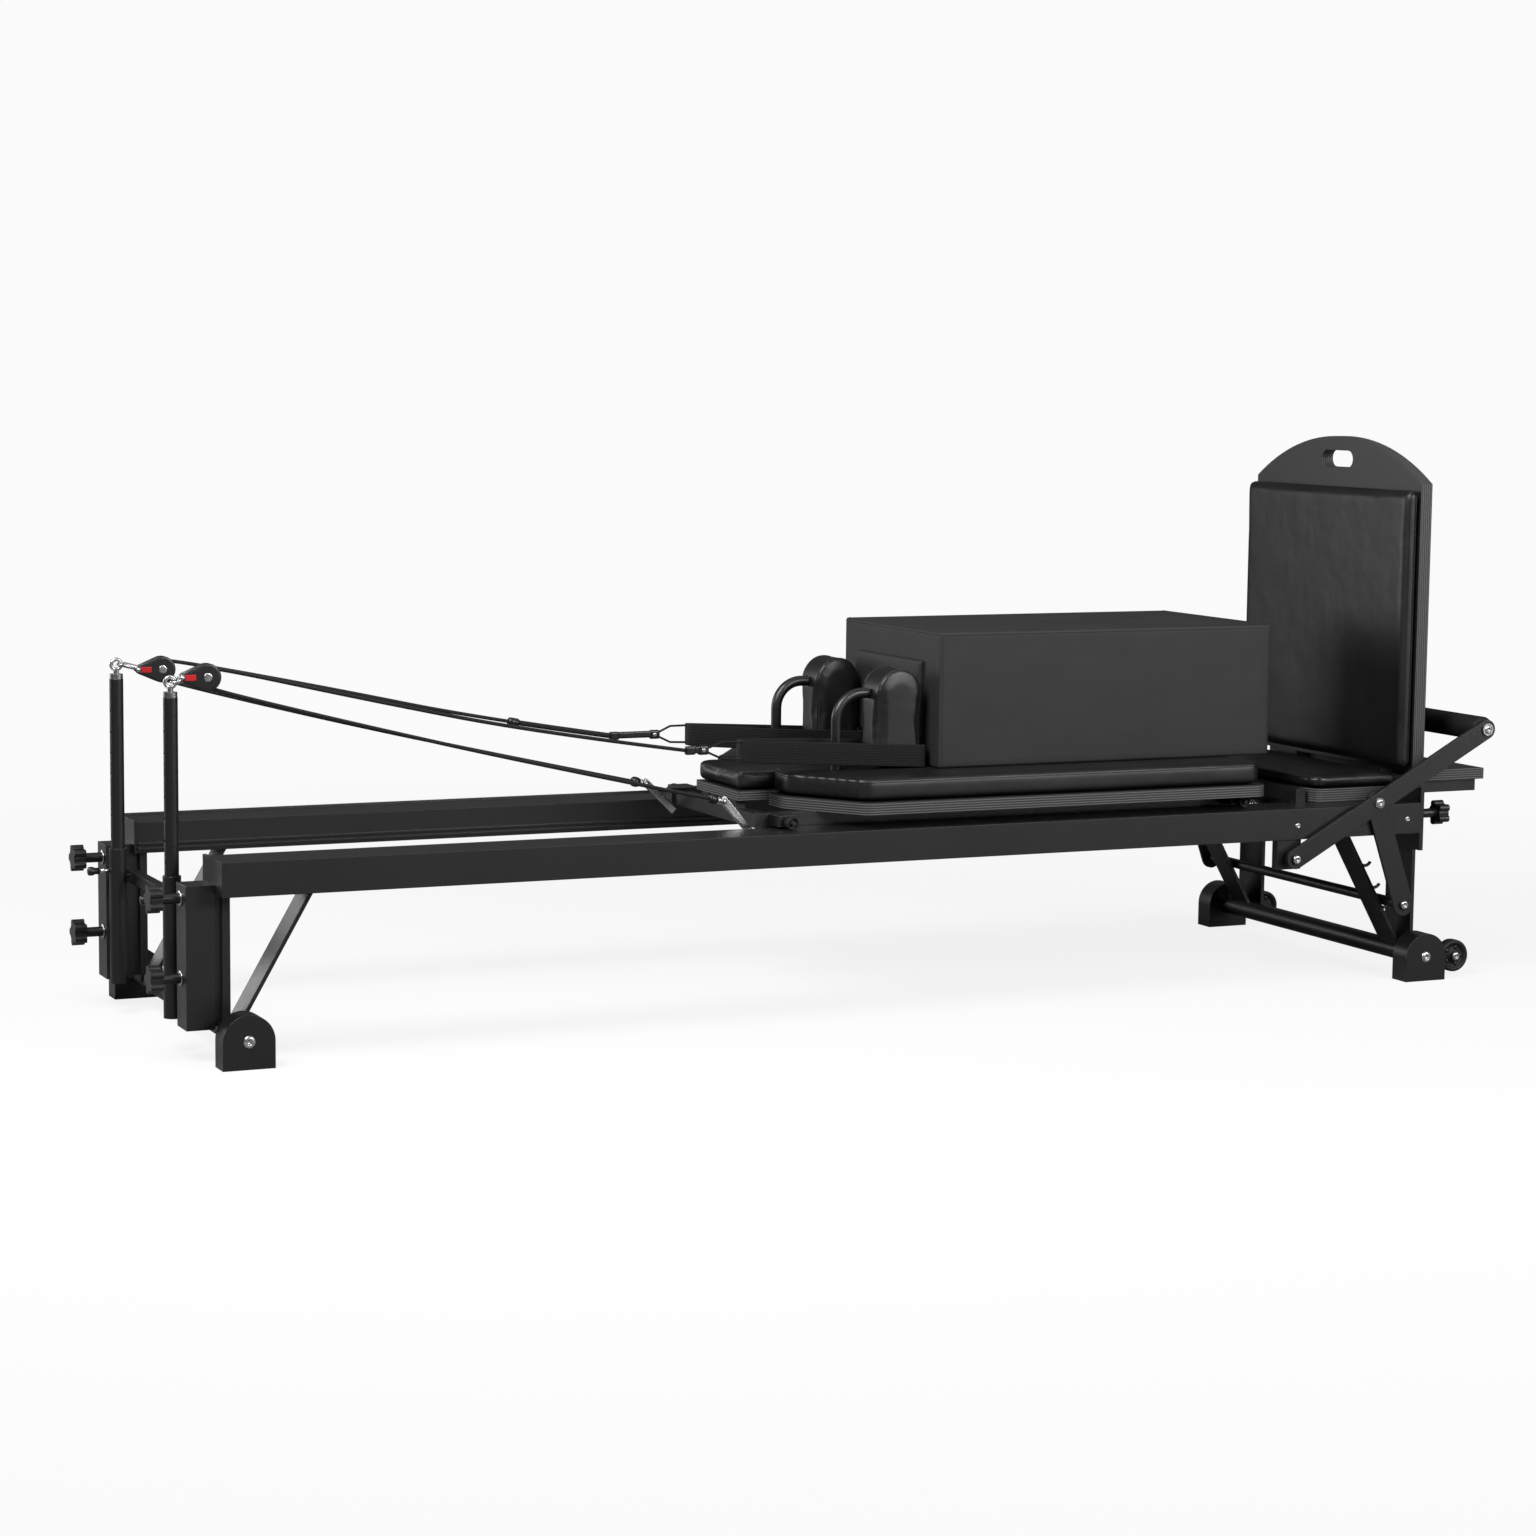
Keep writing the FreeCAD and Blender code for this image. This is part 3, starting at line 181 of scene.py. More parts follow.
grain_group.links.new(spread(grain_group, cells.outputs["Distance"], 0.16, 0.04),
                      wanted.inputs["Fleck"])

# %% [markdown]
# ## Effect: rounded edges and painted edge highlight
# No real edge is perfectly sharp. The bevel normal rounds the shading over a chosen radius, and
# where it departs from the true normal there is an edge. That edge, broken up by noise, is the
# mask for a painted highlight along it.

# %% Rounded edges and painted edge highlight group
edge_group, given, wanted = effect("rounded edges with painted edge highlight", [("Radius", 0.0012)], ["Edge", "Normal"])
rounded = add(edge_group, "ShaderNodeBevel", {"Radius": given.outputs["Radius"]}, samples=4)
plain = add(edge_group, "ShaderNodeNewGeometry")
agree = add(edge_group, "ShaderNodeVectorMath",
            {0: rounded.outputs[0], 1: plain.outputs["Normal"]}, operation="DOT_PRODUCT")
# Mask for a painted edge highlight: where the bevel normal departs from the true normal, broken up
# by noise.
highlight_breakup = add(edge_group, "ShaderNodeTexNoise",
            {"Vector": add(edge_group, "ShaderNodeTexCoord").outputs["Object"], "Scale": 60.0})
painted_highlight_rim = spread(edge_group, agree.outputs["Value"], 0.99, 0.8)
edge_group.links.new(maths(edge_group, "MULTIPLY", painted_highlight_rim,
                           spread(edge_group, highlight_breakup.outputs[0], 0.35, 0.65)),
                     wanted.inputs["Edge"])
edge_group.links.new(rounded.outputs[0], wanted.inputs["Normal"])

# %% [markdown]
# ## Effect: plywood layers
# The boards are black-faced plywood. On their cut edges the veneers show as thin stripes across
# the thickness. The group measures how far along the thickness axis a point lies, and whether
# the surface is an edge.

# %% Plywood layers group
ply_group, given, wanted = effect(
    "plywood layers", [("Axis", (0.0, 0.0, 1.0)), ("Veneer", 0.0046)],
    ["Cut", "Layer", "Figure"])
spot = add(ply_group, "ShaderNodeTexCoord")
depth = add(ply_group, "ShaderNodeVectorMath",
            {0: spot.outputs["Object"], 1: given.outputs["Axis"]}, operation="DOT_PRODUCT")
facing = add(ply_group, "ShaderNodeVectorMath",
             {0: spot.outputs["Normal"], 1: given.outputs["Axis"]}, operation="DOT_PRODUCT")
turns = maths(ply_group, "DIVIDE", depth.outputs["Value"], given.outputs["Veneer"])
ripple = maths(ply_group, "SINE", maths(ply_group, "MULTIPLY", turns, 2 * math.pi))
figure = add(ply_group, "ShaderNodeTexNoise", {"Vector": spot.outputs["Object"], "Scale": 90.0,
                                               "Detail": 6.0, "Roughness": 0.7})
ply_group.links.new(spread(ply_group, maths(ply_group, "ABSOLUTE", facing.outputs["Value"]),
                           0.7, 0.5), wanted.inputs["Cut"])
ply_group.links.new(spread(ply_group, ripple, -0.2, 0.9), wanted.inputs["Layer"])
ply_group.links.new(figure.outputs[0], wanted.inputs["Figure"])

# %% [markdown]
# ## Effect: webbing and braid
# Webbing has ribs that run along it and a finer cross weave. A rope's braid is two sets of
# strands that cross. Both follow the piece's own UV map, in metres along U.

# %% Webbing and braid groups
web_group, given, wanted = effect(
    "webbing", [("Ribs", 14.0), ("Picks", 900.0)], ["Height", "Shade"])
flat = add(web_group, "ShaderNodeSeparateXYZ",
           {0: add(web_group, "ShaderNodeTexCoord").outputs["UV"]})
ribs = maths(web_group, "SINE", maths(web_group, "MULTIPLY", flat.outputs["Y"],
                                      maths(web_group, "MULTIPLY", given.outputs["Ribs"],
                                            2 * math.pi)))
picks = maths(web_group, "SINE", maths(web_group, "MULTIPLY", flat.outputs["X"],
                                       given.outputs["Picks"]))
weave = maths(web_group, "ADD", maths(web_group, "MULTIPLY", ribs, 0.7),
              maths(web_group, "MULTIPLY", picks, 0.3))
web_group.links.new(weave, wanted.inputs["Height"])
web_group.links.new(spread(web_group, weave, -0.8, 0.8), wanted.inputs["Shade"])

braid_group, given, wanted = effect("braid", [("Pitch", 520.0)], ["Height", "Shade"])
flat = add(braid_group, "ShaderNodeSeparateXYZ",
           {0: add(braid_group, "ShaderNodeTexCoord").outputs["UV"]})
around = maths(braid_group, "MULTIPLY", flat.outputs["Y"], 8 * math.pi)
along = maths(braid_group, "MULTIPLY", flat.outputs["X"], given.outputs["Pitch"])
strands = [maths(braid_group, "SINE", maths(braid_group, way, along, around))
           for way in ("ADD", "SUBTRACT")]
crossing = maths(braid_group, "MAXIMUM", strands[0], strands[1])
braid_group.links.new(crossing, wanted.inputs["Height"])
braid_group.links.new(spread(braid_group, crossing, 0.0, 1.0), wanted.inputs["Shade"])


# %% [markdown]
# ## Materials
# Each finish of the machine is one material with its own Principled shader. Uniform values sit
# on the shader's sockets, and only what varies over the surface comes from the groups.


# %% Material helpers
def grey(value):
    """A near-neutral colour with a trace of warmth taken out."""
    return (value, value, value * 1.02, 1.0)


def blank(name):
    """A new material with its tree, its Principled shader wired to the output."""
    material = bpy.data.materials.new(name)
    material.use_nodes = True
    tree = material.node_tree
    tree.nodes.clear()
    shader = add(tree, "ShaderNodeBsdfPrincipled")
    add(tree, "ShaderNodeOutputMaterial", {"Surface": shader.outputs[0]})
    return material, tree, shader


def mix_colour(tree, amount, first, second):
    """A colour between two, by a mask."""
    node = add(tree, "ShaderNodeMix", {"Factor": amount}, data_type="RGBA")
    for key, colour in ((6, first), (7, second)):
        if isinstance(colour, bpy.types.NodeSocket):
            tree.links.new(colour, node.inputs[key])
        else:
            node.inputs[key].default_value = colour
    return node.outputs[2]


def use(tree, group, **values):
    """Place an effect in a material with its own values."""
    node = add(tree, "ShaderNodeGroup", node_tree=group)
    for key, value in values.items():
        node.inputs[key.replace("_", " ")].default_value = value
    return node.outputs


def bump(tree, height, distance, normal=None):
    """Turn a height into a normal."""
    feeds = {"Height": height, "Distance": distance, "Strength": 1.0}
    if normal is not None:
        feeds["Normal"] = normal
    return add(tree, "ShaderNodeBump", feeds).outputs[0]


# %% [markdown]
# ### Coated and moulded blacks
# Powder coat is satin with an orange-peel grain and faint flecks. A paler colour is painted
# along its edges as a highlight. Moulded plastic and rubber are the same recipe, with a softer
# shine and less fleck.


# %% Black coatings
def coated(name, tone, roughness, scale, relief, fleck, radius, specular=0.5):
    """A black finish with grain, flecks, and a painted highlight along its edges."""
    material, tree, shader = blank(name)
    grain = use(tree, grain_group, Scale=scale)
    edge = use(tree, edge_group, Radius=radius)
    colour = mix_colour(tree, grain["Patch"], grey(tone * 0.82), grey(tone * 1.18))
    colour = mix_colour(tree, maths(tree, "MULTIPLY", grain["Fleck"], fleck), colour,
                        grey(tone * 5))
    # Painted highlight: a paler grey mixed in along the edges, by the edge mask.
    colour = mix_colour(tree, maths(tree, "MULTIPLY", edge["Edge"], 0.5), colour,
                        grey(tone * 5.5))
    tree.links.new(colour, shader.inputs["Base Color"])
    tree.links.new(spread(tree, grain["Height"], 0.2, 0.8, roughness - 0.07, roughness + 0.07),
                   shader.inputs["Roughness"])
    shader.inputs["Specular IOR Level"].default_value = specular
    tree.links.new(bump(tree, grain["Height"], relief, normal=edge["Normal"]),
                   shader.inputs["Normal"])
    return material


FINISHES = {
    "powder_coat": coated("powder_coat", 0.0055, 0.36, 700.0, 0.00022, 0.45, 0.0018),
    "moulded_black": coated("moulded_black", 0.0045, 0.34, 1400.0, 0.00005, 0.0, 0.0014),
    "tyre_rubber": coated("tyre_rubber", 0.005, 0.6, 800.0, 0.0001, 0.0, 0.001, 0.35),
    "foam_grip": coated("foam_grip", 0.0045, 0.66, 700.0, 0.00025, 0.2, 0.002, 0.3),
}
pulley_red, tree, shader = blank("pulley_red")
tint = use(tree, grain_group, Scale=400.0)
tree.links.new(mix_colour(tree, tint["Patch"], (0.30, 0.008, 0.012, 1), (0.42, 0.014, 0.02, 1)),
               shader.inputs["Base Color"])
shader.inputs["Roughness"].default_value = 0.25
FINISHES["pulley_red"] = pulley_red


# %% [markdown]
# ### Upholstery
# The cushions are covered in smooth matt vinyl. It has a very fine pebble, broad soft creases
# where it is pulled over foam, and a sheen that drifts with the tension.
# The sitting box gets a paler copy of the same vinyl: painted light, for the stronger light on the
# box.

# %% Vinyl
def vinyl(name, dark, pale, roughness, specular):
    """Smooth matt vinyl over foam, between two tones."""
    material, tree, shader = blank(name)
    pebble = use(tree, grain_group, Scale=420.0, Patch_Scale=7.0)
    creases = add(tree, "ShaderNodeTexNoise",
                  {"Vector": add(tree, "ShaderNodeTexCoord").outputs["Object"], "Scale": 13.0,
                   "Detail": 2.0})
    colour = mix_colour(tree, pebble["Patch"], grey(dark), grey(pale))
    colour = mix_colour(tree, maths(tree, "MULTIPLY", pebble["Fleck"], 0.35), colour,
                        grey(dark * 0.3))
    tree.links.new(colour, shader.inputs["Base Color"])
    tree.links.new(spread(tree, pebble["Patch"], 0.0, 1.0, roughness - 0.05, roughness + 0.05),
                   shader.inputs["Roughness"])
    shader.inputs["Specular IOR Level"].default_value = specular
    relief = bump(tree, creases.outputs[0], 0.0016)
    tree.links.new(bump(tree, pebble["Fleck"], 0.00014, normal=relief),
                   shader.inputs["Normal"])
    return material


FINISHES["upholstery"] = vinyl("upholstery", 0.0035, 0.0055, 0.40, 0.45)
# Painted light: a paler copy of the cushions' vinyl, for the light that falls on the sitting box.
box_vinyl_painted_lighter = vinyl("box_vinyl_painted_lighter", 0.015, 0.020, 0.60, 0.3)


# %% [markdown]
# ### Plywood
# Most boards lie flat, and the jump board stands up, so its veneers are stacked along another
# axis. It gets its own copy of the material.


# %% Plywood boards
def plywood(name, axis):
    """Black-faced plywood whose veneers are stacked along an axis."""
    material, tree, shader = blank(name)
    ply = use(tree, ply_group, Axis=axis)
    edge = use(tree, edge_group, Radius=0.0018)
    face = mix_colour(tree, ply["Figure"], grey(0.006), grey(0.011))
    stripes = mix_colour(tree, ply["Layer"], grey(0.012), (0.085, 0.081, 0.077, 1))
    colour = mix_colour(tree, ply["Cut"], face, stripes)
    tree.links.new(colour, shader.inputs["Base Color"])
    tree.links.new(spread(tree, ply["Cut"], 0, 1, 0.42, 0.6), shader.inputs["Roughness"])
    height = maths(tree, "MULTIPLY", maths(tree, "MULTIPLY", ply["Cut"], ply["Layer"]), -1.0)
    grain = bump(tree, ply["Figure"], 0.00012, normal=edge["Normal"])
    tree.links.new(bump(tree, height, 0.0003, normal=grain), shader.inputs["Normal"])
    return material


FINISHES["laminated_board"] = plywood("laminated_board", (0.0, 0.0, 1.0))
standing_board = plywood("standing_board", (1.0, 0.0, 0.0))

# %% [markdown]
# ### Bright metal
# Bolts, shackles and the cleats are bright zinc or polished steel, with fine smears in the
# gloss rather than a mirror.

# %% Bright steel
steel, tree, shader = blank("bright_steel")
smear = use(tree, grain_group, Scale=260.0, Patch_Scale=40.0)
tree.links.new(mix_colour(tree, smear["Patch"], (0.38, 0.38, 0.39, 1), (0.56, 0.56, 0.56, 1)),
               shader.inputs["Base Color"])
shader.inputs["Metallic"].default_value = 1.0
tree.links.new(spread(tree, smear["Height"], 0.2, 0.8, 0.22, 0.36), shader.inputs["Roughness"])
tree.links.new(bump(tree, smear["Height"], 0.00003), shader.inputs["Normal"])
FINISHES["bright_steel"] = steel

# %% [markdown]
# ### Rope and webbing
# Both are black polyester: almost no shine, and the weave shows as tiny ribs, painted paler as a
# highlight, with painted shade between them.


# %% Woven blacks
def woven(name, group, low, high, relief, roughness):
    """A woven black whose ribs stand up, painted paler as a highlight and darker between them as
    shade.
    """
    material, tree, shader = blank(name)
    cloth = use(tree, group)
    # Painted highlight and shade: the ribs get the paler grey and the grooves between them the
    # darker one.
    tree.links.new(mix_colour(tree, cloth["Shade"], grey(low), grey(high)),
                   shader.inputs["Base Color"])
    shader.inputs["Roughness"].default_value = roughness
    shader.inputs["Specular IOR Level"].default_value = 0.25
    shader.inputs["Sheen Weight"].default_value = 0.04
    tree.links.new(bump(tree, cloth["Height"], relief), shader.inputs["Normal"])
    return material


FINISHES["webbing"] = woven("webbing", web_group, 0.0015, 0.006, 0.0004, 0.8)
FINISHES["rope_braid"] = woven("rope_braid", braid_group, 0.003, 0.011, 0.0003, 0.72)
print("made", len(FINISHES) + 1, "materials")

# %% [markdown]
# ## Dressing the rigid parts
# Every part already knows its finish by its slot in the record, so a loop covers them all. Only
# the standing jump board needs the other plywood.

# %% Dress the rigid parts
SLOT_OF = {part["node"]: part["material_slot"] for part in frame["record"]["subparts"]}
for name, thing in NODES.items():
    thing.data.materials.clear()
    thing.data.materials.append(FINISHES[SLOT_OF[name]])
NODES["jump_board"].data.materials[0] = standing_board


# %% [markdown]
# ## Ways of making a mesh
# Most of what follows is one of four shapes: a turned profile, a tube along a path, a block with
# soft edges, and a flat outline with thickness. Each helper returns corners and faces, and
# `piece` turns them into an object that rides on a body.


# %% Making pieces
def piece(name, verts, faces, body, slot, replaced=(), uvs=None):
    """An object from corners and faces, with its finish, riding on a body."""
    mesh = bpy.data.meshes.new(name)
    mesh.from_pydata([tuple(v) for v in verts], [], faces)
    mesh.validate()
    if uvs is not None:
        layer = mesh.uv_layers.new(name="along")
        for face in mesh.polygons:
            for loop, corner in zip(face.loop_indices, face.vertices):
                layer.data[loop].uv = uvs[corner]
    for face in mesh.polygons:
        face.use_smooth = True
    mesh.materials.append(FINISHES[slot])
    thing = bpy.data.objects.new(name, mesh)
    bpy.context.collection.objects.link(thing)
    tidy = bmesh.new()
    tidy.from_mesh(mesh)
    bmesh.ops.recalc_face_normals(tidy, faces=tidy.faces)
    tidy.to_mesh(mesh)
    tidy.free()
    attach(thing, body)
    for node in replaced:
        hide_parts(node)
    return thing


def together(*parts):
    """Several (corners, faces) pairs as one."""
    verts, faces = [], []
    for more_verts, more_faces in parts:
        base = len(verts)
        verts += list(more_verts)
        faces += [[base + corner for corner in face] for face in more_faces]
    return verts, faces


def turned(profile, centre, axis, segments=40, flats=None):
    """A profile of (radius, distance along the axis), turned round the axis. Rings numbered in
    flats are hexagons instead of circles."""
    spin = Vector((0, 0, 1)).rotation_difference(Vector(axis)).to_matrix()
    verts = []
    for ring, (radius, distance) in enumerate(profile):
        for step in range(segments):
            angle = 2 * math.pi * step / segments
            reach = radius
            if flats and ring in flats:
                reach *= math.cos(math.pi / 6) / math.cos(angle % (math.pi / 3) - math.pi / 6)
            verts.append(Vector(centre) + spin @ Vector(
                (reach * math.cos(angle), reach * math.sin(angle), distance)))
    faces = []
    for ring in range(len(profile) - 1):
        for step in range(segments):
            following = (step + 1) % segments
            base = ring * segments
            faces.append((base + step, base + following, base + segments + following,
                          base + segments + step))
    faces.append(tuple(reversed(range(segments))))
    faces.append(tuple(range(len(verts) - segments, len(verts))))
    return verts, faces


def tube(path, radius, sides=12, closed=False):
    """A round tube along a path, with U along it in metres and V round it. The ring's frame is
    carried along the path so that it doesn't twist."""
    points = [Vector(p) for p in path]
    count = len(points)
    verts, faces, uvs = [], [], []
    side = None
    run = 0.0
    for i, point in enumerate(points):
        before = points[i - 1] if i or closed else point
        after = points[(i + 1) % count] if i < count - 1 or closed else point
        ahead = (after - before).normalized()
        if side is None:
            side = ahead.orthogonal().normalized()
        side = (side - ahead * side.dot(ahead)).normalized()
        other = ahead.cross(side)
        run += (point - points[i - 1]).length if i else 0.0
        for step in range(sides):
            angle = 2 * math.pi * step / sides
            verts.append(point + (side * math.cos(angle) + other * math.sin(angle)) * radius)
            uvs.append((run, step / sides))
    for i in range(count if closed else count - 1):
        for step in range(sides):
            following = (step + 1) % sides
            a, b = i * sides, ((i + 1) % count) * sides
            faces.append((a + step, a + following, b + following, b + step))
    if not closed:
        faces.append(tuple(reversed(range(sides))))
        faces.append(tuple(range(len(verts) - sides, len(verts))))
    return verts, faces, uvs


def soft_block(low, high, radius, crown=(0, 0, 0), steps=14):
    """A block with round edges, whose faces bulge by crown metres along each axis."""
    low, high = Vector(low), Vector(high)
    ruler = []
    for axis in range(3):
        ends = [radius * (1 - math.cos(math.pi / 2 * i / 4)) for i in range(5)]
        inner = np.linspace(low[axis] + radius, high[axis] - radius, steps)[1:-1]
        ruler.append([low[axis] + e for e in ends] + list(inner)
                     + [high[axis] - e for e in reversed(ends)])
    number, verts, faces = {}, [], []

    def corner(key):
        if key not in number:
            point = Vector(ruler[axis][key[axis]] for axis in range(3))
            core = Vector(min(max(point[a], low[a] + radius), high[a] - radius)
                          for a in range(3))
            away = point - core
            rounded_point = core + away.normalized() * radius
            share = [2 * (point[a] - low[a]) / (high[a] - low[a]) - 1 for a in range(3)]
            for a in range(3):
                b, c = (a + 1) % 3, (a + 2) % 3
                swell = crown[a] * (1 - share[b] ** 2) * (1 - share[c] ** 2)
                rounded_point[a] += swell * share[a] ** 5
            number[key] = len(verts)
            verts.append(rounded_point)
        return number[key]

    for axis in range(3):
        b, c = (axis + 1) % 3, (axis + 2) % 3
        for end in (0, len(ruler[axis]) - 1):
            for i in range(len(ruler[b]) - 1):
                for j in range(len(ruler[c]) - 1):
                    keys = []
                    for di, dj in ((0, 0), (1, 0), (1, 1), (0, 1)):
                        key = [0, 0, 0]
                        key[axis], key[b], key[c] = end, i + di, j + dj
                        keys.append(corner(tuple(key)))
                    faces.append(keys)
    return verts, faces


def middle(node):
    """The centre of a node's box."""
    low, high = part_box(node)
    return (Vector(low) + Vector(high)) / 2


def islands(node):
    """The box of each separate solid in a node, as (lowest, highest) corners."""
    mesh = bmesh.new()
    mesh.from_mesh(NODES[node].data)
    bmesh.ops.remove_doubles(mesh, verts=mesh.verts, dist=1e-5)
    left = set(mesh.verts)
    found = []
    while left:
        queue, members = [left.pop()], []
        while queue:
            vertex = queue.pop()
            members.append(vertex.co.copy())
            for edge in vertex.link_edges:
                other = edge.other_vert(vertex)
                if other in left:
                    left.discard(other)
                    queue.append(other)
        found.append((Vector(min(p[a] for p in members) for a in range(3)),
                      Vector(max(p[a] for p in members) for a in range(3))))
    mesh.free()
    return found


# %% [markdown]
# ## Bolt heads
# Button-head bolts with a hexagonal socket hold the machine together. One helper turns the head,
# with the two rings of the socket's mouth as hexagons.


# %% Bolt head helper
def button_bolt(centre, axis, radius, height):
    """A domed bolt head with a hexagonal socket, standing on a face."""
    dome = [(radius, 0.0), (radius, height * 0.25), (radius * 0.93, height * 0.55),
            (radius * 0.78, height * 0.85), (radius * 0.60, height), (radius * 0.46, height),
            (radius * 0.44, height * 0.35), (0.0004, height * 0.3)]
    return turned(dome, centre, axis, 48, flats=(5, 6))


# %% [markdown]
# ## Ropes
# Each rope runs tight from its strap, round the sheave and back to the carriage. The list holds
# the corners of its route, and a NURBS spline makes the smooth line. A ring is then carried
# along that line, dense enough for the braid.

# %% Ropes
ROPE_THICK = 0.007
ROUTES = {
    "near": [(-0.3495, -0.185, 0.4910), (-0.6395, -0.185, 0.5340), (-0.9495, -0.185, 0.6005),
             (-1.2506, -0.185, 0.6707), (-1.2640, -0.185, 0.6620), (-1.2675, -0.185, 0.6465),
             (-1.2590, -0.185, 0.6329), (-0.9395, -0.185, 0.5495), (-0.6195, -0.185, 0.4715),
             (-0.3015, -0.185, 0.4005)],
    "far": [(-0.3485, 0.185, 0.4810), (-0.6115, 0.185, 0.5225), (-0.9215, 0.185, 0.5910),
            (-1.2308, 0.185, 0.6532), (-1.2442, 0.185, 0.6445), (-1.2477, 0.185, 0.6290),
            (-1.2392, 0.185, 0.6154), (-0.9195, 0.185, 0.5320), (-0.6095, 0.185, 0.4590),
            (-0.3015, 0.185, 0.3910)],
}


def smooth_line(points, step):
    """Points along the NURBS spline of a route, about a step apart."""
    curve = bpy.data.curves.new("route", "CURVE")
    curve.dimensions = "3D"
    spline = curve.splines.new("NURBS")
    spline.points.add(len(points) - 1)
    for knot, point in zip(spline.points, points):
        knot.co = (*point, 1)
    spline.order_u = 3
    spline.use_endpoint_u = True
    spline.resolution_u = 64
    holder = bpy.data.objects.new("route", curve)
    bpy.context.collection.objects.link(holder)
    bpy.context.view_layer.update()
    mesh = bpy.data.meshes.new_from_object(holder)
    line = np.array([v.co for v in mesh.vertices])
    bpy.data.objects.remove(holder)
    bpy.data.curves.remove(curve)
    run = np.concatenate([[0], np.cumsum(np.linalg.norm(np.diff(line, axis=0), axis=1))])
    marks = np.linspace(0, run[-1], max(2, int(run[-1] / step)))
    return [Vector(np.interp(mark, run, line[:, a]) for a in range(3)) for mark in marks], run[-1]


JOINTS = {joint["name"]: joint for joint in frame["joints"]}
ROPE_STEP = 0.003


def shorten(thing):
    """Give a piece on a rope its own copy of its mesh."""
    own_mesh(thing)


rope_lines = {}
for name, _ in SIDES:
    line, length = smooth_line(ROUTES[name], ROPE_STEP)
    rope_lines[name] = line
    verts, faces, uvs = tube(line, ROPE_THICK / 2, sides=14)
    rope = piece("braided_rope_" + name, verts, faces, "rope_" + name, "rope_braid",
                 replaced=["rope_" + name], uvs=uvs)
    shorten(rope)
    print(f"rope {name}: {length:.3f} m")

# %% [markdown]
# ## Rope stopper
# The far rope carries a small stopper, and from there to its clasp it is sleeved, which makes it
# thicker. Both follow the rope's own line.

# %% Rope stopper
STOPPER_FROM = -0.555
UPPER_RUN = 0.478
SLEEVE_RADIUS = 0.0052
sleeve_line = [p for p in rope_lines["far"] if p.x > STOPPER_FROM and p.z > UPPER_RUN]
verts, faces, uvs = tube(sleeve_line, SLEEVE_RADIUS, sides=14)
sleeve = piece("rope_sleeve_far", verts, faces, "rope_far", "rope_braid", uvs=uvs)
along = (sleeve_line[-12] - sleeve_line[-1]).normalized()
stop = turned([(0.0040, -0.004), (0.0078, -0.001), (0.0082, 0.006), (0.0078, 0.016),
               (0.0062, 0.019), (0.0040, 0.020)], sleeve_line[-1], along, 28)
stopper = piece("rope_stopper_far", *stop, "rope_far", "moulded_black")
for thing in (sleeve, stopper):
    shorten(thing)
print(f"sleeved {len(sleeve_line) * ROPE_STEP:.2f} m of the far rope")

# %% [markdown]
# ## Cushions
# A cushion is foam under a stretched cover. Its plain solid is shrunk a little, remeshed evenly
# and blown up by a cloth simulation with pressure inside, so its sides pull in between the
# corners as a real cover does. It then stays within the room that its solid holds.


# %% Cushion helper
MARGIN = 0.0002
SEAM_SPACING = 0.006


def blown_up(name, node, body, voxel, shrink, swell, calm):
    """A cushion in the room of a node's solid. shrink is how much smaller it starts on each
    side and swell is the furthest that a point may move, both in metres. calm is how often the
    result is smoothed."""
    low, high = (Vector(corner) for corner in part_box(node))
    centre, size = (low + high) / 2, high - low
    mesh = NODES[node].data.copy()
    mesh.transform(Matrix.Translation(centre)
                   @ Matrix.Diagonal([1 - 2 * shrink / s for s in size]).to_4x4()
                   @ Matrix.Translation(-centre))
    thing = bpy.data.objects.new(name, mesh)
    bpy.context.collection.objects.link(thing)
    remesh = thing.modifiers.new("even", "REMESH")
    remesh.mode = "VOXEL"
    remesh.voxel_size = voxel
    relax = thing.modifiers.new("relax", "SMOOTH")
    relax.iterations = 3
    relax.factor = 0.5
    mesh = bpy.data.meshes.new_from_object(
        thing.evaluated_get(bpy.context.evaluated_depsgraph_get()))
    thing.modifiers.clear()
    thing.data = mesh
    start = np.array([v.co for v in mesh.vertices])
    moved = start
    cloth = thing.modifiers.new("cover", "CLOTH")
    cloth.settings.use_pressure = True
    cloth.settings.uniform_pressure_force = 4.0
    cloth.settings.quality = 4
    cloth.settings.effector_weights.gravity = 0.0
    for moment in range(1, 17):
        bpy.context.scene.frame_set(moment)
    puffed = thing.evaluated_get(bpy.context.evaluated_depsgraph_get())
    moved = np.array([v.co for v in puffed.data.vertices])
    thing.modifiers.clear()
    bpy.context.scene.frame_set(1)
    step = moved - start
    length = np.linalg.norm(step, axis=1, keepdims=True)
    step *= np.minimum(1, swell / np.maximum(length, 1e-9))
    mesh.vertices.foreach_set("co", (start + step).ravel())
    settle = thing.modifiers.new("settle", "SMOOTH")
    settle.iterations = calm
    settle.factor = 0.5
    mesh = bpy.data.meshes.new_from_object(
        thing.evaluated_get(bpy.context.evaluated_depsgraph_get()))
    thing.modifiers.clear()
    thing.data = mesh
    settled = np.array([v.co for v in mesh.vertices])
    share = (settled - settled.min(axis=0)) / np.ptp(settled, axis=0)
    room_low, room_high = np.array(low) + MARGIN, np.array(high) - MARGIN
    mesh.vertices.foreach_set("co", (room_low + share * (room_high - room_low)).ravel())
    for face in mesh.polygons:
        face.use_smooth = True
    finer = thing.modifiers.new("finer", "SUBSURF")
    finer.levels = finer.render_levels = 1
    mesh = bpy.data.meshes.new_from_object(
        thing.evaluated_get(bpy.context.evaluated_depsgraph_get()))
    thing.modifiers.clear()
    mesh.materials.clear()
    mesh.materials.append(FINISHES["upholstery"])
    thing.data = mesh
    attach(thing, body)
    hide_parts(node)
    print(f"{name}: {len(mesh.vertices)} corners")
    return thing


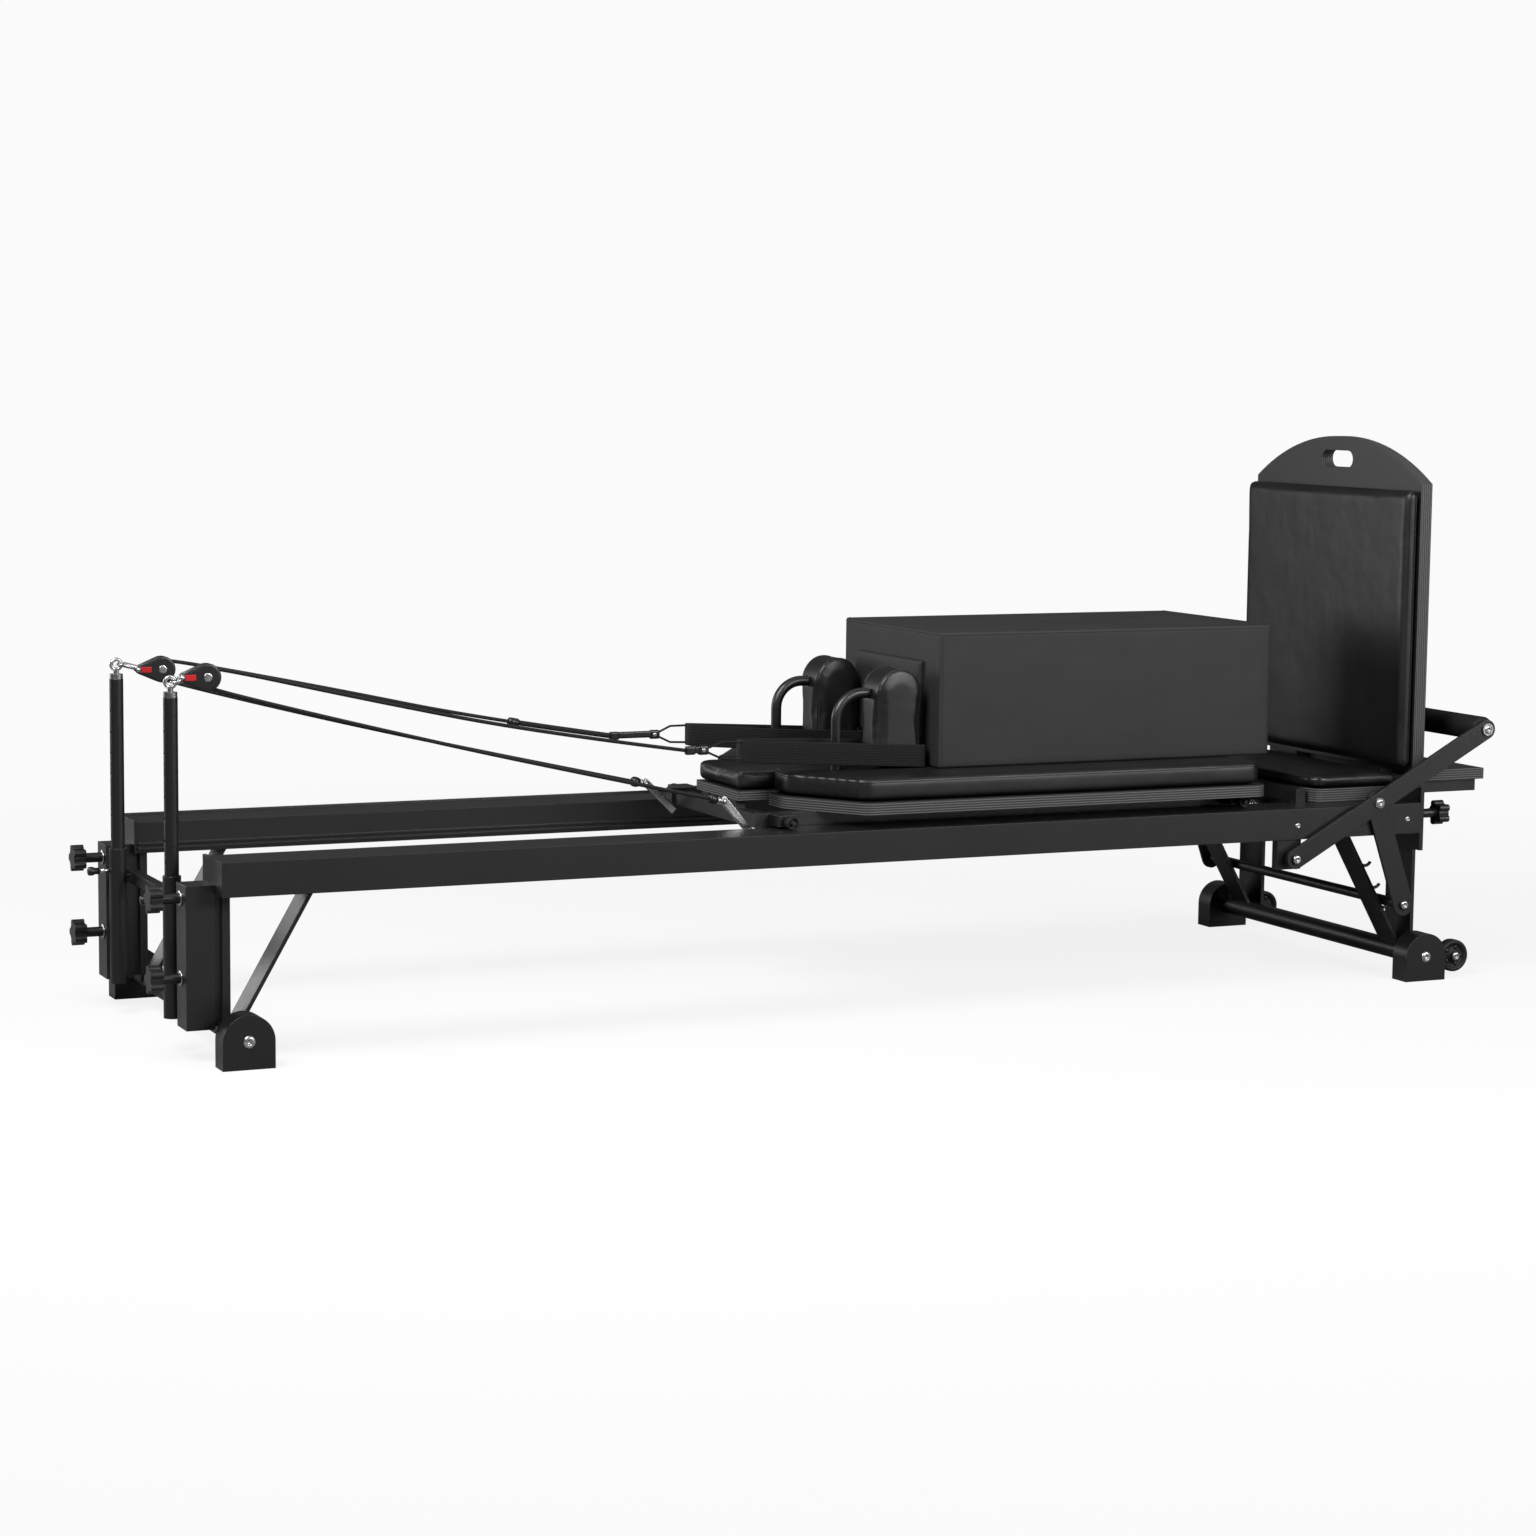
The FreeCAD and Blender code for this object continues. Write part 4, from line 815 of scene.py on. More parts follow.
def cut_line(thing, point, normal):
    """The longest closed line where a plane cuts a mesh, evenly spaced."""
    mesh = bmesh.new()
    mesh.from_mesh(thing.data)
    geometry = mesh.verts[:] + mesh.edges[:] + mesh.faces[:]
    cut = bmesh.ops.bisect_plane(mesh, geom=geometry, plane_co=point, plane_no=normal)
    edges = [e for e in cut["geom_cut"] if isinstance(e, bmesh.types.BMEdge)]
    neighbours = {}
    for edge in edges:
        a, b = edge.verts
        neighbours.setdefault(a, []).append(b)
        neighbours.setdefault(b, []).append(a)
    best = []
    seen = set()
    for first in neighbours:
        if first in seen:
            continue
        line, current = [], first
        while current is not None:
            seen.add(current)
            line.append(current.co.copy())
            onward = [n for n in neighbours[current] if n not in seen]
            current = onward[0] if onward else None
        if len(line) > len(best):
            best = line
    mesh.free()
    points = np.array(best + best[:1])
    run = np.concatenate([[0], np.cumsum(np.linalg.norm(np.diff(points, axis=0), axis=1))])
    marks = np.linspace(0, run[-1], int(run[-1] / SEAM_SPACING) + 1)[:-1]
    return [Vector(np.interp(mark, run, points[:, a]) for a in range(3)) for mark in marks]


def welt(name, thing, point, normal, body, thick=0.0011):
    """The raised seam round a cushion where a plane cuts it."""
    line = cut_line(thing, point, normal)
    verts, faces, _ = tube(line, thick, sides=8, closed=True)
    return piece(name, verts, faces, body, "upholstery")


# %% [markdown]
# ### Carriage, platform, headrest and jump board cushions
# The big flat cushions barely crown, and their edges are what shows, so they are smoothed little.
# Each has a sewn seam round its side. The list gives the piece, the node it stands for and its
# body, then the voxel size, shrink and swell, and the seam's axis and how far along it lies.

# %% Flat cushions
FLAT_CUSHIONS = (
    ("carriage_cushion", "carriage_pad", "carriage", 0.006, 0.002, 0.003, "z", 0.80),
    ("platform_cushion", "platform_pad", "frame", 0.0045, 0.002, 0.005, "z", 0.74),
    ("headrest_cushion", "headrest_pad", "headrest", 0.0035, 0.001, 0.002, "z", 0.80),
    ("jump_board_cushion", "jump_board_pad", "jump_board", 0.005, 0.002, 0.004, "x", 0.75),
)
for name, node, body, voxel, shrink, swell, axis, share in FLAT_CUSHIONS:
    pad = blown_up(name, node, body, voxel, shrink, swell, calm=2)
    low, high = (Vector(corner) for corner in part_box(node))
    seam = low + (high - low) * share
    normal = (0, 0, 1) if axis == "z" else (1, 0, 0)
    welt(name + "_seam", pad, seam, normal, body)

# %% [markdown]
# ### Shoulder rests
# Each is an arched block of foam with flat sides, sewn where the sides meet the front.

# %% Shoulder cushions
for name, _ in SIDES:
    node = "shoulder_pad_" + name
    body = "shoulder_rest_" + name
    pad = blown_up("shoulder_cushion_" + name, node, body, 0.0035, 0.002, 0.004, calm=8)
    low, high = (Vector(corner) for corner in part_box(node))
    for label, share in (("inner", 0.12), ("outer", 0.88)):
        spot = low + (high - low) * share
        welt(f"shoulder_{label}_seam_{name}", pad, spot, (0, 1, 0), body)

# %% [markdown]
# ### Sitting box
# A plywood box under thin foam and vinyl: crisp, with faces that bulge by only a millimetre or
# two, and a padded panel on its end. It is modelled directly, because a simulation would make
# it a pillow.

# %% Sitting box
low, high = (Vector(corner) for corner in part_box("sitting_box"))
PANEL_PROUD = 0.010
body_low = Vector((low.x + PANEL_PROUD, low.y, low.z))
verts, faces = soft_block(body_low + Vector((0.001, 0.001, 0)), high - Vector((0.001,) * 3),
                          0.005, crown=(0.001, 0.001, 0.0), steps=26)
box_piece = piece("sitting_box_cover", verts, faces, "sitting_box", "upholstery",
                  replaced=["sitting_box"])
box_piece.data.materials[0] = box_vinyl_painted_lighter
panel = soft_block((low.x, -0.140, low.z + 0.045), (low.x + 0.018, 0.140, low.z + 0.200), 0.0065)
panel_piece = piece("sitting_box_panel", *panel, "sitting_box", "upholstery")
panel_piece.data.materials[0] = box_vinyl_painted_lighter
EDGE_SEAM = 0.007
for label, spot, normal in (
        ("top", high - Vector((0, 0, EDGE_SEAM)), (0, 0, 1)),
        ("head_end", body_low + Vector((EDGE_SEAM, 0, 0)), (1, 0, 0)),
        ("foot_end", high - Vector((EDGE_SEAM, 0, 0)), (1, 0, 0))):
    seam = welt(f"sitting_box_{label}_seam", box_piece, spot, normal, "sitting_box", 0.0008)
    seam.data.materials[0] = box_vinyl_painted_lighter


# %% [markdown]
# ## Strap loops
# Each loop is wide webbing laid round a shoulder rest. It is swept along a closed line whose
# corners are softened by corner cutting, and it rises towards the rope.


# %% Strap loops
def softened(corners, rounds):
    """A closed line with its corners cut again and again, each time a quarter from the end."""
    line = [Vector(c) for c in corners]
    for _ in range(rounds):
        line = [point for a, b in zip(line, line[1:] + line[:1])
                for point in (a.lerp(b, 0.25), a.lerp(b, 0.75))]
    return line


def swept_band(line, width, thick):
    """Webbing on edge round a closed line: its width stands up Z. U runs along it, V across."""
    count = len(line)
    section = [(-1, 0.0), (-1, 0.06), (-1, 0.5), (-1, 0.94), (-0.4, 1.0), (0.4, 1.0), (1, 0.94),
               (1, 0.5), (1, 0.06), (0.4, 0.0)]
    verts, faces, uvs = [], [], []
    run = 0.0
    for i, point in enumerate(line):
        ahead = (line[(i + 1) % count] - line[i - 1]).normalized()
        out = Vector((ahead.y, -ahead.x, 0)).normalized()
        run += (point - line[i - 1]).length if i else 0.0
        for across, up in section:
            verts.append(point + out * (across * thick / 2) + Vector((0, 0, up * width)))
            uvs.append((run, up))
    size = len(section)
    for i in range(count):
        a, b = i * size, ((i + 1) % count) * size
        for k in range(size):
            following = (k + 1) % size
            faces.append((a + k, a + following, b + following, b + k))
    return verts, faces, uvs


BAND_WIDTH = 0.042
BAND_THICK = 0.0026
BAND_SLOPE = 0.055
BAND_CLEAR = 0.0019
TIP_PAST_ROPE = {"near": 0.122, "far": 0.150}
pad_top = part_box("carriage_pad")[1][2]
loop_ends = {}
for name, side in SIDES:
    pad_low, pad_high = (Vector(corner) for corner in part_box("shoulder_pad_" + name))
    inner = min(abs(pad_low.y), abs(pad_high.y)) - BAND_CLEAR
    outer = max(abs(pad_low.y), abs(pad_high.y)) + BAND_CLEAR
    back = pad_high.x + BAND_CLEAR
    crook = pad_low.x - 0.090
    tip = ROUTES[name][0][0] + TIP_PAST_ROPE[name] + 0.0015
    corners = [(back, outer - 0.004), (back - 0.004, outer), (pad_low.x, outer),
               (crook, outer - 0.0015), (tip + 0.004, outer - 0.007),
               (tip, outer - 0.012), (tip, outer - 0.036), (tip + 0.006, outer - 0.040),
               (crook, inner + 0.001), (pad_low.x - 0.004, inner), (back - 0.004, inner),
               (back, inner + 0.004)]
    line = [Vector((x, side * y, pad_top + 0.001 + BAND_SLOPE * (back - x))) for x, y in corners]
    spaced = []
    for a, b in zip(line, line[1:] + line[:1]):
        pieces = max(1, int((b - a).length / 0.02))
        spaced += [a.lerp(b, k / pieces) for k in range(pieces)]
    band = softened(spaced, rounds=2)
    verts, faces, uvs = swept_band(band, BAND_WIDTH, BAND_THICK)
    piece("strap_webbing_" + name, verts, faces, "carriage", "webbing",
          replaced=["strap_loops"], uvs=uvs)
    loop_ends[name] = Vector((tip, side * (outer - 0.014),
                              pad_top + 0.001 + BAND_SLOPE * (back - tip) + BAND_WIDTH / 2))

# %% [markdown]
# ### Clasps
# At the rope's end a folded tab carries a steel rivet, and two thin cords run from it to the
# webbing.

# %% Clasps
CLASP_LENGTHS = {"near": 0.046, "far": 0.104}
for name, _ in SIDES:
    start = Vector(ROUTES[name][0])
    length = CLASP_LENGTHS[name]
    tab = soft_block(start + Vector((0.001, -0.0040, -0.0065)),
                     start + Vector((length, 0.0040, 0.0065)), 0.003)
    lock = soft_block(start + Vector((0.001, -0.0060, -0.0085)),
                      start + Vector((0.020, 0.0060, 0.0070)), 0.003)
    cheek = soft_block(start + Vector((length - 0.020, -0.0056, -0.0095)),
                       start + Vector((length + 0.001, 0.0056, 0.0080)), 0.004)
    piece("rope_clasp_" + name, *together(tab, lock, cheek), "carriage", "moulded_black",
          replaced=["strap_clasps"])
    spot = start + Vector((length - 0.010, 0, -0.001))
    rivet = turned([(0.0022, -0.0070), (0.0040, -0.0068), (0.0042, -0.0060), (0.0042, 0.0060),
                    (0.0040, 0.0068), (0.0022, 0.0070)], spot, (0, 1, 0), 24)
    piece("clasp_rivet_" + name, *rivet, "carriage", "bright_steel")
    ties = []
    for lift in (-0.016, 0.017):
        end = loop_ends[name] + Vector((0.001, 0, lift))
        bend = spot.lerp(end, 0.5) + Vector((0, 0, lift * 0.45))
        verts, faces, _ = tube([spot, spot.lerp(bend, 0.6), bend, bend.lerp(end, 0.5), end],
                               0.0021, sides=10)
        ties.append((verts, faces))
    piece("clasp_ties_" + name, *together(*ties), "carriage", "webbing")

# %% [markdown]
# ## Cleats
# At its lower end each rope runs into a round black grip. A bright clamp and a sloping flat bar
# carry the pull down to the carriage's frame, where a bolt holds the bar.

# %% Cleats
chassis_low = Vector(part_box("carriage_chassis")[0])
for name, side in SIDES:
    before, end = Vector(ROUTES[name][-2]), Vector(ROUTES[name][-1])
    ahead = (end - before).normalized()
    grip = turned([(0.0035, 0.0), (0.0075, 0.0006), (0.0095, 0.003), (0.0100, 0.007),
                   (0.0098, 0.012), (0.0080, 0.0165), (0.0045, 0.018)], end, ahead, 32)
    piece("cleat_grip_" + name, *grip, "carriage", "moulded_black", replaced=["rope_cleats"])
    clamp = turned([(0.0050, 0.016), (0.0070, 0.017), (0.0070, 0.0235), (0.0060, 0.0245),
                    (0.0060, 0.0265), (0.0070, 0.0275), (0.0070, 0.034), (0.0052, 0.036)],
                   end, ahead, 32)
    at = end + ahead * 0.034
    foot = Vector((chassis_low.x, end.y, chassis_low.z + 0.0105))
    slope = (foot - at).normalized()
    over = slope.cross(Vector((0, 1, 0))).normalized()
    length = (foot - at).length
    verts, faces = soft_block((-0.010, -0.0045, -0.0070), (length, 0.0045, 0.0070), 0.0018,
                              steps=6)
    turn = Matrix((slope, Vector((0, 1, 0)), over)).transposed()
    plate = [at + turn @ Vector(v) for v in verts], faces
    bolt = button_bolt(foot - slope * 0.010 + Vector((0, side * 0.0045, 0)), (0, side, 0),
                       0.0062, 0.0026)
    piece("cleat_bar_" + name, *together(clamp, plate, bolt), "carriage", "bright_steel")

# %% [markdown]
# ## Springs
# Five coil springs pull the carriage home. Each is a helix of steel wire with a plain sleeve at
# both ends. It stretches between the carriage and the spring bar. Each is let go from the body
# that `piece` gave it and has no parent.

# %% Springs
WIRE = 0.0014
COILS = 92
STEPS_A_COIL = 10
INSET = 0.025
spring_pieces = []
for number, (low, high) in enumerate(sorted(islands("springs"), key=lambda b: b[0].y), 1):
    centre = (low + high) / 2
    radius = (high.z - low.z) / 2 - WIRE
    helix = []
    for step in range(COILS * STEPS_A_COIL + 1):
        angle = 2 * math.pi * step / STEPS_A_COIL
        share = step / (COILS * STEPS_A_COIL)
        x = low.x + INSET + (high.x - low.x - 2 * INSET) * share
        helix.append((x, centre.y + radius * math.cos(angle), centre.z + radius * math.sin(angle)))
    verts, faces, _ = tube(helix, WIRE, sides=6)
    coil = piece(f"spring_coil_{number}", verts, faces, "frame", "bright_steel",
                 replaced=["springs"])
    sleeves = []
    for end in (low.x, high.x - INSET - 0.004):
        sleeves.append(turned([(0.004, 0), (radius, 0.001), (radius + WIRE * 0.6, 0.004),
                               (radius + WIRE * 0.6, INSET), (radius - 0.001, INSET + 0.004)],
                              (end, centre.y, centre.z), (1, 0, 0), 24))
    sleeve = piece(f"spring_sleeves_{number}", *together(*sleeves), "frame", "moulded_black")
    for thing in (coil, sleeve):
        spring_pieces.append((thing, low.x + INSET, high.x - INSET))
for thing, first, last in spring_pieces:
    thing.parent = None
    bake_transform(thing)


# %% [markdown]
# ## Bolts in the frame and the footbar
# The frame's bolts stand where the plain heads were. The footbar's pins get the same heads.

# %% Bolts
bolts = []
for low, high in islands("frame_bolts"):
    centre = (low + high) / 2
    side = math.copysign(1, centre.y)
    radius = (high.x - low.x) / 2
    face = min(abs(low.y), abs(high.y))
    bolts.append(button_bolt((centre.x, side * face, centre.z), (0, side, 0), radius,
                             0.0040 if radius > 0.008 else 0.0030))
piece("frame_button_bolts", *together(*bolts), "frame", "bright_steel", replaced=["frame_bolts"])


def outside(node, side):
    """How far a node reaches out on one side."""
    low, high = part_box(node)
    return high[1] if side > 0 else low[1]


pivot = JOINTS["footbar_lift"]["pos_m"]
link = JOINTS["prop_swing"]["pos_m"]
rod_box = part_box("prop_rod")
rod_x, rod_z = (rod_box[0][0] + rod_box[1][0]) / 2, (rod_box[0][2] + rod_box[1][2]) / 2
grip_centre = middle("footbar_grip")
HEAD = 0.0085
HEAD_HEIGHT = 0.0028
PIN_HEAD = 0.004
for name, side in SIDES:
    heads = {
        "pivot": (pivot[0], outside("footbar_supports", side), pivot[2], "frame"),
        "link": (link[0], outside("footbar_arms", side) + side * PIN_HEAD, link[2], "footbar"),
        "rod": (rod_x, outside("prop_rod", side), rod_z, "prop"),
        "grip": (grip_centre.x, outside("footbar_arms", side) + side * PIN_HEAD, grip_centre.z,
                 "footbar")}
    for label, (x, y, z, body) in heads.items():
        piece(f"{label}_bolt_{name}", *button_bolt((x, y, z), (0, side, 0), HEAD, HEAD_HEIGHT),
              body, "bright_steel")

# %% [markdown]
# ## Knobs
# The star knobs clamp the risers. Each bears on a bright washer and has a small steel cap in its
# head.

# %% Knob washers and caps
KNOBS = [f"star_knob_{level}_{name}" for level in ("upper", "lower") for name, _ in SIDES]
KNOBS += ["board_knob_" + name for name, _ in SIDES]
STUD = 0.020
for knob in KNOBS:
    low, high = (Vector(corner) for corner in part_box(knob))
    x, y, z = JOINTS[knob + "_turn"]["pos_m"]
    away = 1 if knob.startswith("board") else -1
    face = (low.x + STUD) if away > 0 else (high.x - STUD)
    head = high.x if away > 0 else low.x
    washer = turned([(0.0096, 0.0004), (0.0135, 0.0004), (0.0135, 0.0022), (0.0096, 0.0022)],
                    (face, y, z), (away, 0, 0), 32)
    cap = turned([(0.0055, -0.001), (0.0055, 0.0), (0.0045, 0.0008), (0.0004, 0.001)],
                 (head - away * 0.001, y, z), (away, 0, 0), 24)
    piece(knob + "_metal", *together(washer, cap), knob, "bright_steel")

# %% [markdown]
# ## Pull pins
# A sprung pin locks each riser. Its head is a small black knob on a steel shank.

# %% Pull pins
for name, _ in SIDES:
    low, high = (Vector(corner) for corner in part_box("pull_pin_" + name))
    centre = (low + high) / 2
    nose = Vector((low.x, centre.y, centre.z))
    head = turned([(0.0052, 0.0), (0.0074, 0.0008), (0.0080, 0.0030), (0.0080, 0.0090),
                   (0.0066, 0.0118), (0.0060, 0.0130), (0.0060, 0.0205)], nose, (1, 0, 0), 32)
    shank = turned([(0.0038, 0.019), (0.0038, high.x - low.x)], nose, (1, 0, 0), 24)
    piece("pin_knob_" + name, *head, "pull_pin_" + name, "moulded_black",
          replaced=["pull_pin_" + name])
    piece("pin_shank_" + name, *shank, "pull_pin_" + name, "bright_steel")

# %% [markdown]
# ## Wheels
# The carriage runs on four small wheels, and two larger ones let the machine be rolled when
# it is tipped. Both are turned: a tyre with rounded shoulders over a dished hub.

# %% Wheels
def wheel_profile(radius, width):
    """Half of a wheel, from the hub on one side over the tread to the hub on the other."""
    half = width / 2
    return [(radius * 0.30, -half * 0.9), (radius * 0.36, -half * 0.9),
            (radius * 0.40, -half * 0.5), (radius * 0.70, -half * 0.5),
            (radius * 0.74, -half * 0.92), (radius * 0.93, -half), (radius * 0.985, -half * 0.8),
            (radius, -half * 0.55), (radius, half * 0.55),
            (radius * 0.985, half * 0.8), (radius * 0.93, half), (radius * 0.74, half * 0.92),
            (radius * 0.70, half * 0.5), (radius * 0.40, half * 0.5), (radius * 0.36, half * 0.9),
            (radius * 0.30, half * 0.9)]


WHEELS = [f"carriage_wheel_{end}_{name}" for end in ("front", "rear") for name, _ in SIDES]
WHEELS += ["transport_wheel_" + name for name, _ in SIDES]
for wheel in WHEELS:
    low, high = (Vector(corner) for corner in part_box(wheel))
    centre = (low + high) / 2
    radius, width = (high.z - low.z) / 2, high.y - low.y
    piece(wheel + "_tyre", *turned(wheel_profile(radius, width), centre, (0, 1, 0), 56), wheel,
          "tyre_rubber", replaced=[wheel])
    if wheel.startswith("transport"):
        spokes = []
        for turn in range(5):
            angle = 2 * math.pi * turn / 5
            out = Vector((math.cos(angle), 0, math.sin(angle)))
            for face in (-1, 1):
                spot = centre + out * radius * 0.55 + Vector((0, face * width * 0.27, 0))
                spokes.append(turned([(0.0030, -0.001), (0.0042, 0.0), (0.0030, 0.0012)],
                                     spot, (0, face, 0), 16))
        piece(wheel + "_studs", *together(*spokes), wheel, "moulded_black")
        side = math.copysign(1, centre.y)
        hub = button_bolt((centre.x, outside("foot_end_legs", side), centre.z), (0, side, 0),
                          HEAD, HEAD_HEIGHT)
        piece(wheel + "_hub_bolt", *hub, "frame", "bright_steel")

# %% [markdown]
# ## Pulley blocks
# Two teardrop cheeks hold each sheave. They are cut from plate and domed at the rim, so their
# outline is swept inwards in a few steps. A red tab marks the swivel, and a bright ring the
# axle.


# %% Pulley blocks
def teardrop(hub, nose, big, small, face_y, out, thick):
    """A plate round a large circle and a smaller one, with a domed outer rim."""
    reach = hub.x - nose.x
    lean = math.acos((big - small) / reach)
    outline = []
    for step in range(33):
        angle = -(math.pi - lean) + 2 * (math.pi - lean) * step / 32
        outline.append((hub.x, hub.z, big, angle))
    for step in range(17):
        angle = (math.pi - lean) + 2 * lean * step / 16
        outline.append((nose.x, nose.z, small, angle))
    levels = ((0.0, 0.0), (0.6, 0.0), (0.85, 0.0006), (1.0, 0.0016), (1.0, 0.0060))
    verts, faces = [], []
    for height, inset in levels:
        for x, z, radius, angle in outline:
            r = radius - min(inset, radius * 0.8)
            verts.append((x + r * math.cos(angle), face_y + out * height * thick,
                          z + r * math.sin(angle)))
    count = len(outline)
    for ring in range(len(levels) - 1):
        for k in range(count):
            following = (k + 1) % count
            base = ring * count
            faces.append((base + k, base + following, base + count + following,
                          base + count + k))
    faces.append(tuple(reversed(range(count))))
    faces.append(tuple(range(len(verts) - count, len(verts))))
    return verts, faces


CHEEK, CHEEK_GAP, NOSE_RADIUS, NOSE_REACH, CHEEK_THICK = 0.024, 0.0065, 0.009, 0.038, 0.003
for name, _ in SIDES:
    hub = middle("sheave_" + name)
    nose = hub - Vector((NOSE_REACH, 0, 0))
    body = "riser_" + name
    cheeks, rings, tabs, caps = [], [], [], []
    for out in (-1, 1):
        face = hub.y + out * CHEEK_GAP
        outer = face + out * CHEEK_THICK
        cheeks.append(teardrop(hub, nose, CHEEK, NOSE_RADIUS, face, out, CHEEK_THICK))
        rings.append(turned([(0.0052, 0.0), (0.0078, 0.0), (0.0078, 0.0014), (0.0070, 0.0020),
                             (0.0052, 0.0020)], (hub.x, outer, hub.z), (0, out, 0), 32))
        caps.append(turned([(0.0056, 0.0), (0.0050, 0.0017), (0.0004, 0.0019)],
                           (hub.x, outer, hub.z), (0, out, 0), 24))
        tab_low = Vector((nose.x - 0.004, min(outer, outer + out * 0.0016), nose.z - 0.0052))
        tab_high = Vector((nose.x + 0.017, max(outer, outer + out * 0.0016), nose.z + 0.0052))
        tabs.append(soft_block(tab_low, tab_high, 0.0007, steps=6))
    filler = soft_block(nose + Vector((-0.007, -CHEEK_GAP, -0.007)),
                        nose + Vector((0.007, CHEEK_GAP, 0.007)), 0.001, steps=4)
    piece("pulley_cheeks_" + name, *together(*cheeks, *caps, filler), body, "moulded_black",
          replaced=["pulley_block_" + name])
    piece("pulley_axle_rings_" + name, *together(*rings), body, "bright_steel")
    piece("pulley_red_tabs_" + name, *together(*tabs), body, "pulley_red")
    eye_low, eye_high = (Vector(corner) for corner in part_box("shackle_" + name))
    eye = Vector((eye_low.x + 0.0125, hub.y, eye_high.z - 0.0125))
    bow = []
    for step in range(13):
        angle = math.pi / 2 + math.pi * step / 12
        bow.append(eye + Vector((0.010 + 0.008 * math.cos(angle), 0.0085 * math.sin(angle), 0)))
    bow = [nose + Vector((-0.006, 0.0085, 0))] + bow + [nose + Vector((-0.006, -0.0085, 0))]
    verts, faces, _ = tube(bow, 0.0024, sides=10)
    pin = turned([(0.0045, -0.0115), (0.0045, -0.009), (0.0028, -0.009), (0.0028, 0.009),
                  (0.0045, 0.009), (0.0045, 0.0115)], nose + Vector((-0.006, 0, 0)), (0, 1, 0), 20)
    piece("pulley_shackle_" + name, *together((verts, faces), pin), body, "bright_steel")

# %% [markdown]
# ## Footbar grip
# A foam sleeve over the bar, turned with a soft rounding at both ends.

# %% Footbar grip
low, high = (Vector(corner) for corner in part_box("footbar_grip"))
radius = (high.z - low.z) / 2
length = high.y - low.y
END = 0.006
profile = [(0.0102, 0.0), (radius - END, 0.0), (radius - END * 0.3, END * 0.3), (radius, END)]
profile += [(radius, length * k / 12) for k in range(1, 12)]
profile += [(r, length - d) for r, d in reversed(profile[:4])]
centre = (low + high) / 2
piece("footbar_foam", *turned(profile, (centre.x, low.y, centre.z), (0, 1, 0), 48), "footbar",
      "foam_grip", replaced=["footbar_grip"])

# %% [markdown]
# ## Floor and studio light
# A pale floor runs into a pale backdrop: close to the machine it still takes a faint shadow, and
# further out it turns as bright as the wall. The key light is high on the left and a broad one
# stands in front at the right. A low light behind on the left puts a sheen on the faces that
# look towards the pulleys, and a narrow strip at the right draws a line along the edges.

# %% Floor and lights
FLOOR_BOUNCE = 0.22
FLOOR_GLOW = 0.96
FLOOR_FLATNESS = 0.88
SHADOW_REACH = 1.5
BACKDROP_REACH = 3.6
FILL_LIGHT = 0.12
verts = [(-14, -14, 0), (14, -14, 0), (14, 14, 0), (-14, 14, 0)]
floor_mesh = bpy.data.meshes.new("floor")
floor_mesh.from_pydata(verts, [], [(0, 1, 2, 3)])
floor = bpy.data.objects.new("floor", floor_mesh)
bpy.context.collection.objects.link(floor)
paper, tree, shader = blank("paper")
shader.inputs["Roughness"].default_value = 0.9
shader.inputs["Specular IOR Level"].default_value = 0.0
looked_at = add(tree, "ShaderNodeLightPath").outputs["Is Camera Ray"]
tree.links.new(mix_colour(tree, looked_at, grey(FLOOR_BOUNCE), grey(0.8)),
               shader.inputs["Base Color"])
glow = add(tree, "ShaderNodeEmission", {"Color": (1, 1, 1, 1), "Strength": FLOOR_GLOW})
floor_point = add(tree, "ShaderNodeNewGeometry").outputs["Position"]
distance = add(tree, "ShaderNodeVectorMath", {"Vector": floor_point}, operation="LENGTH")
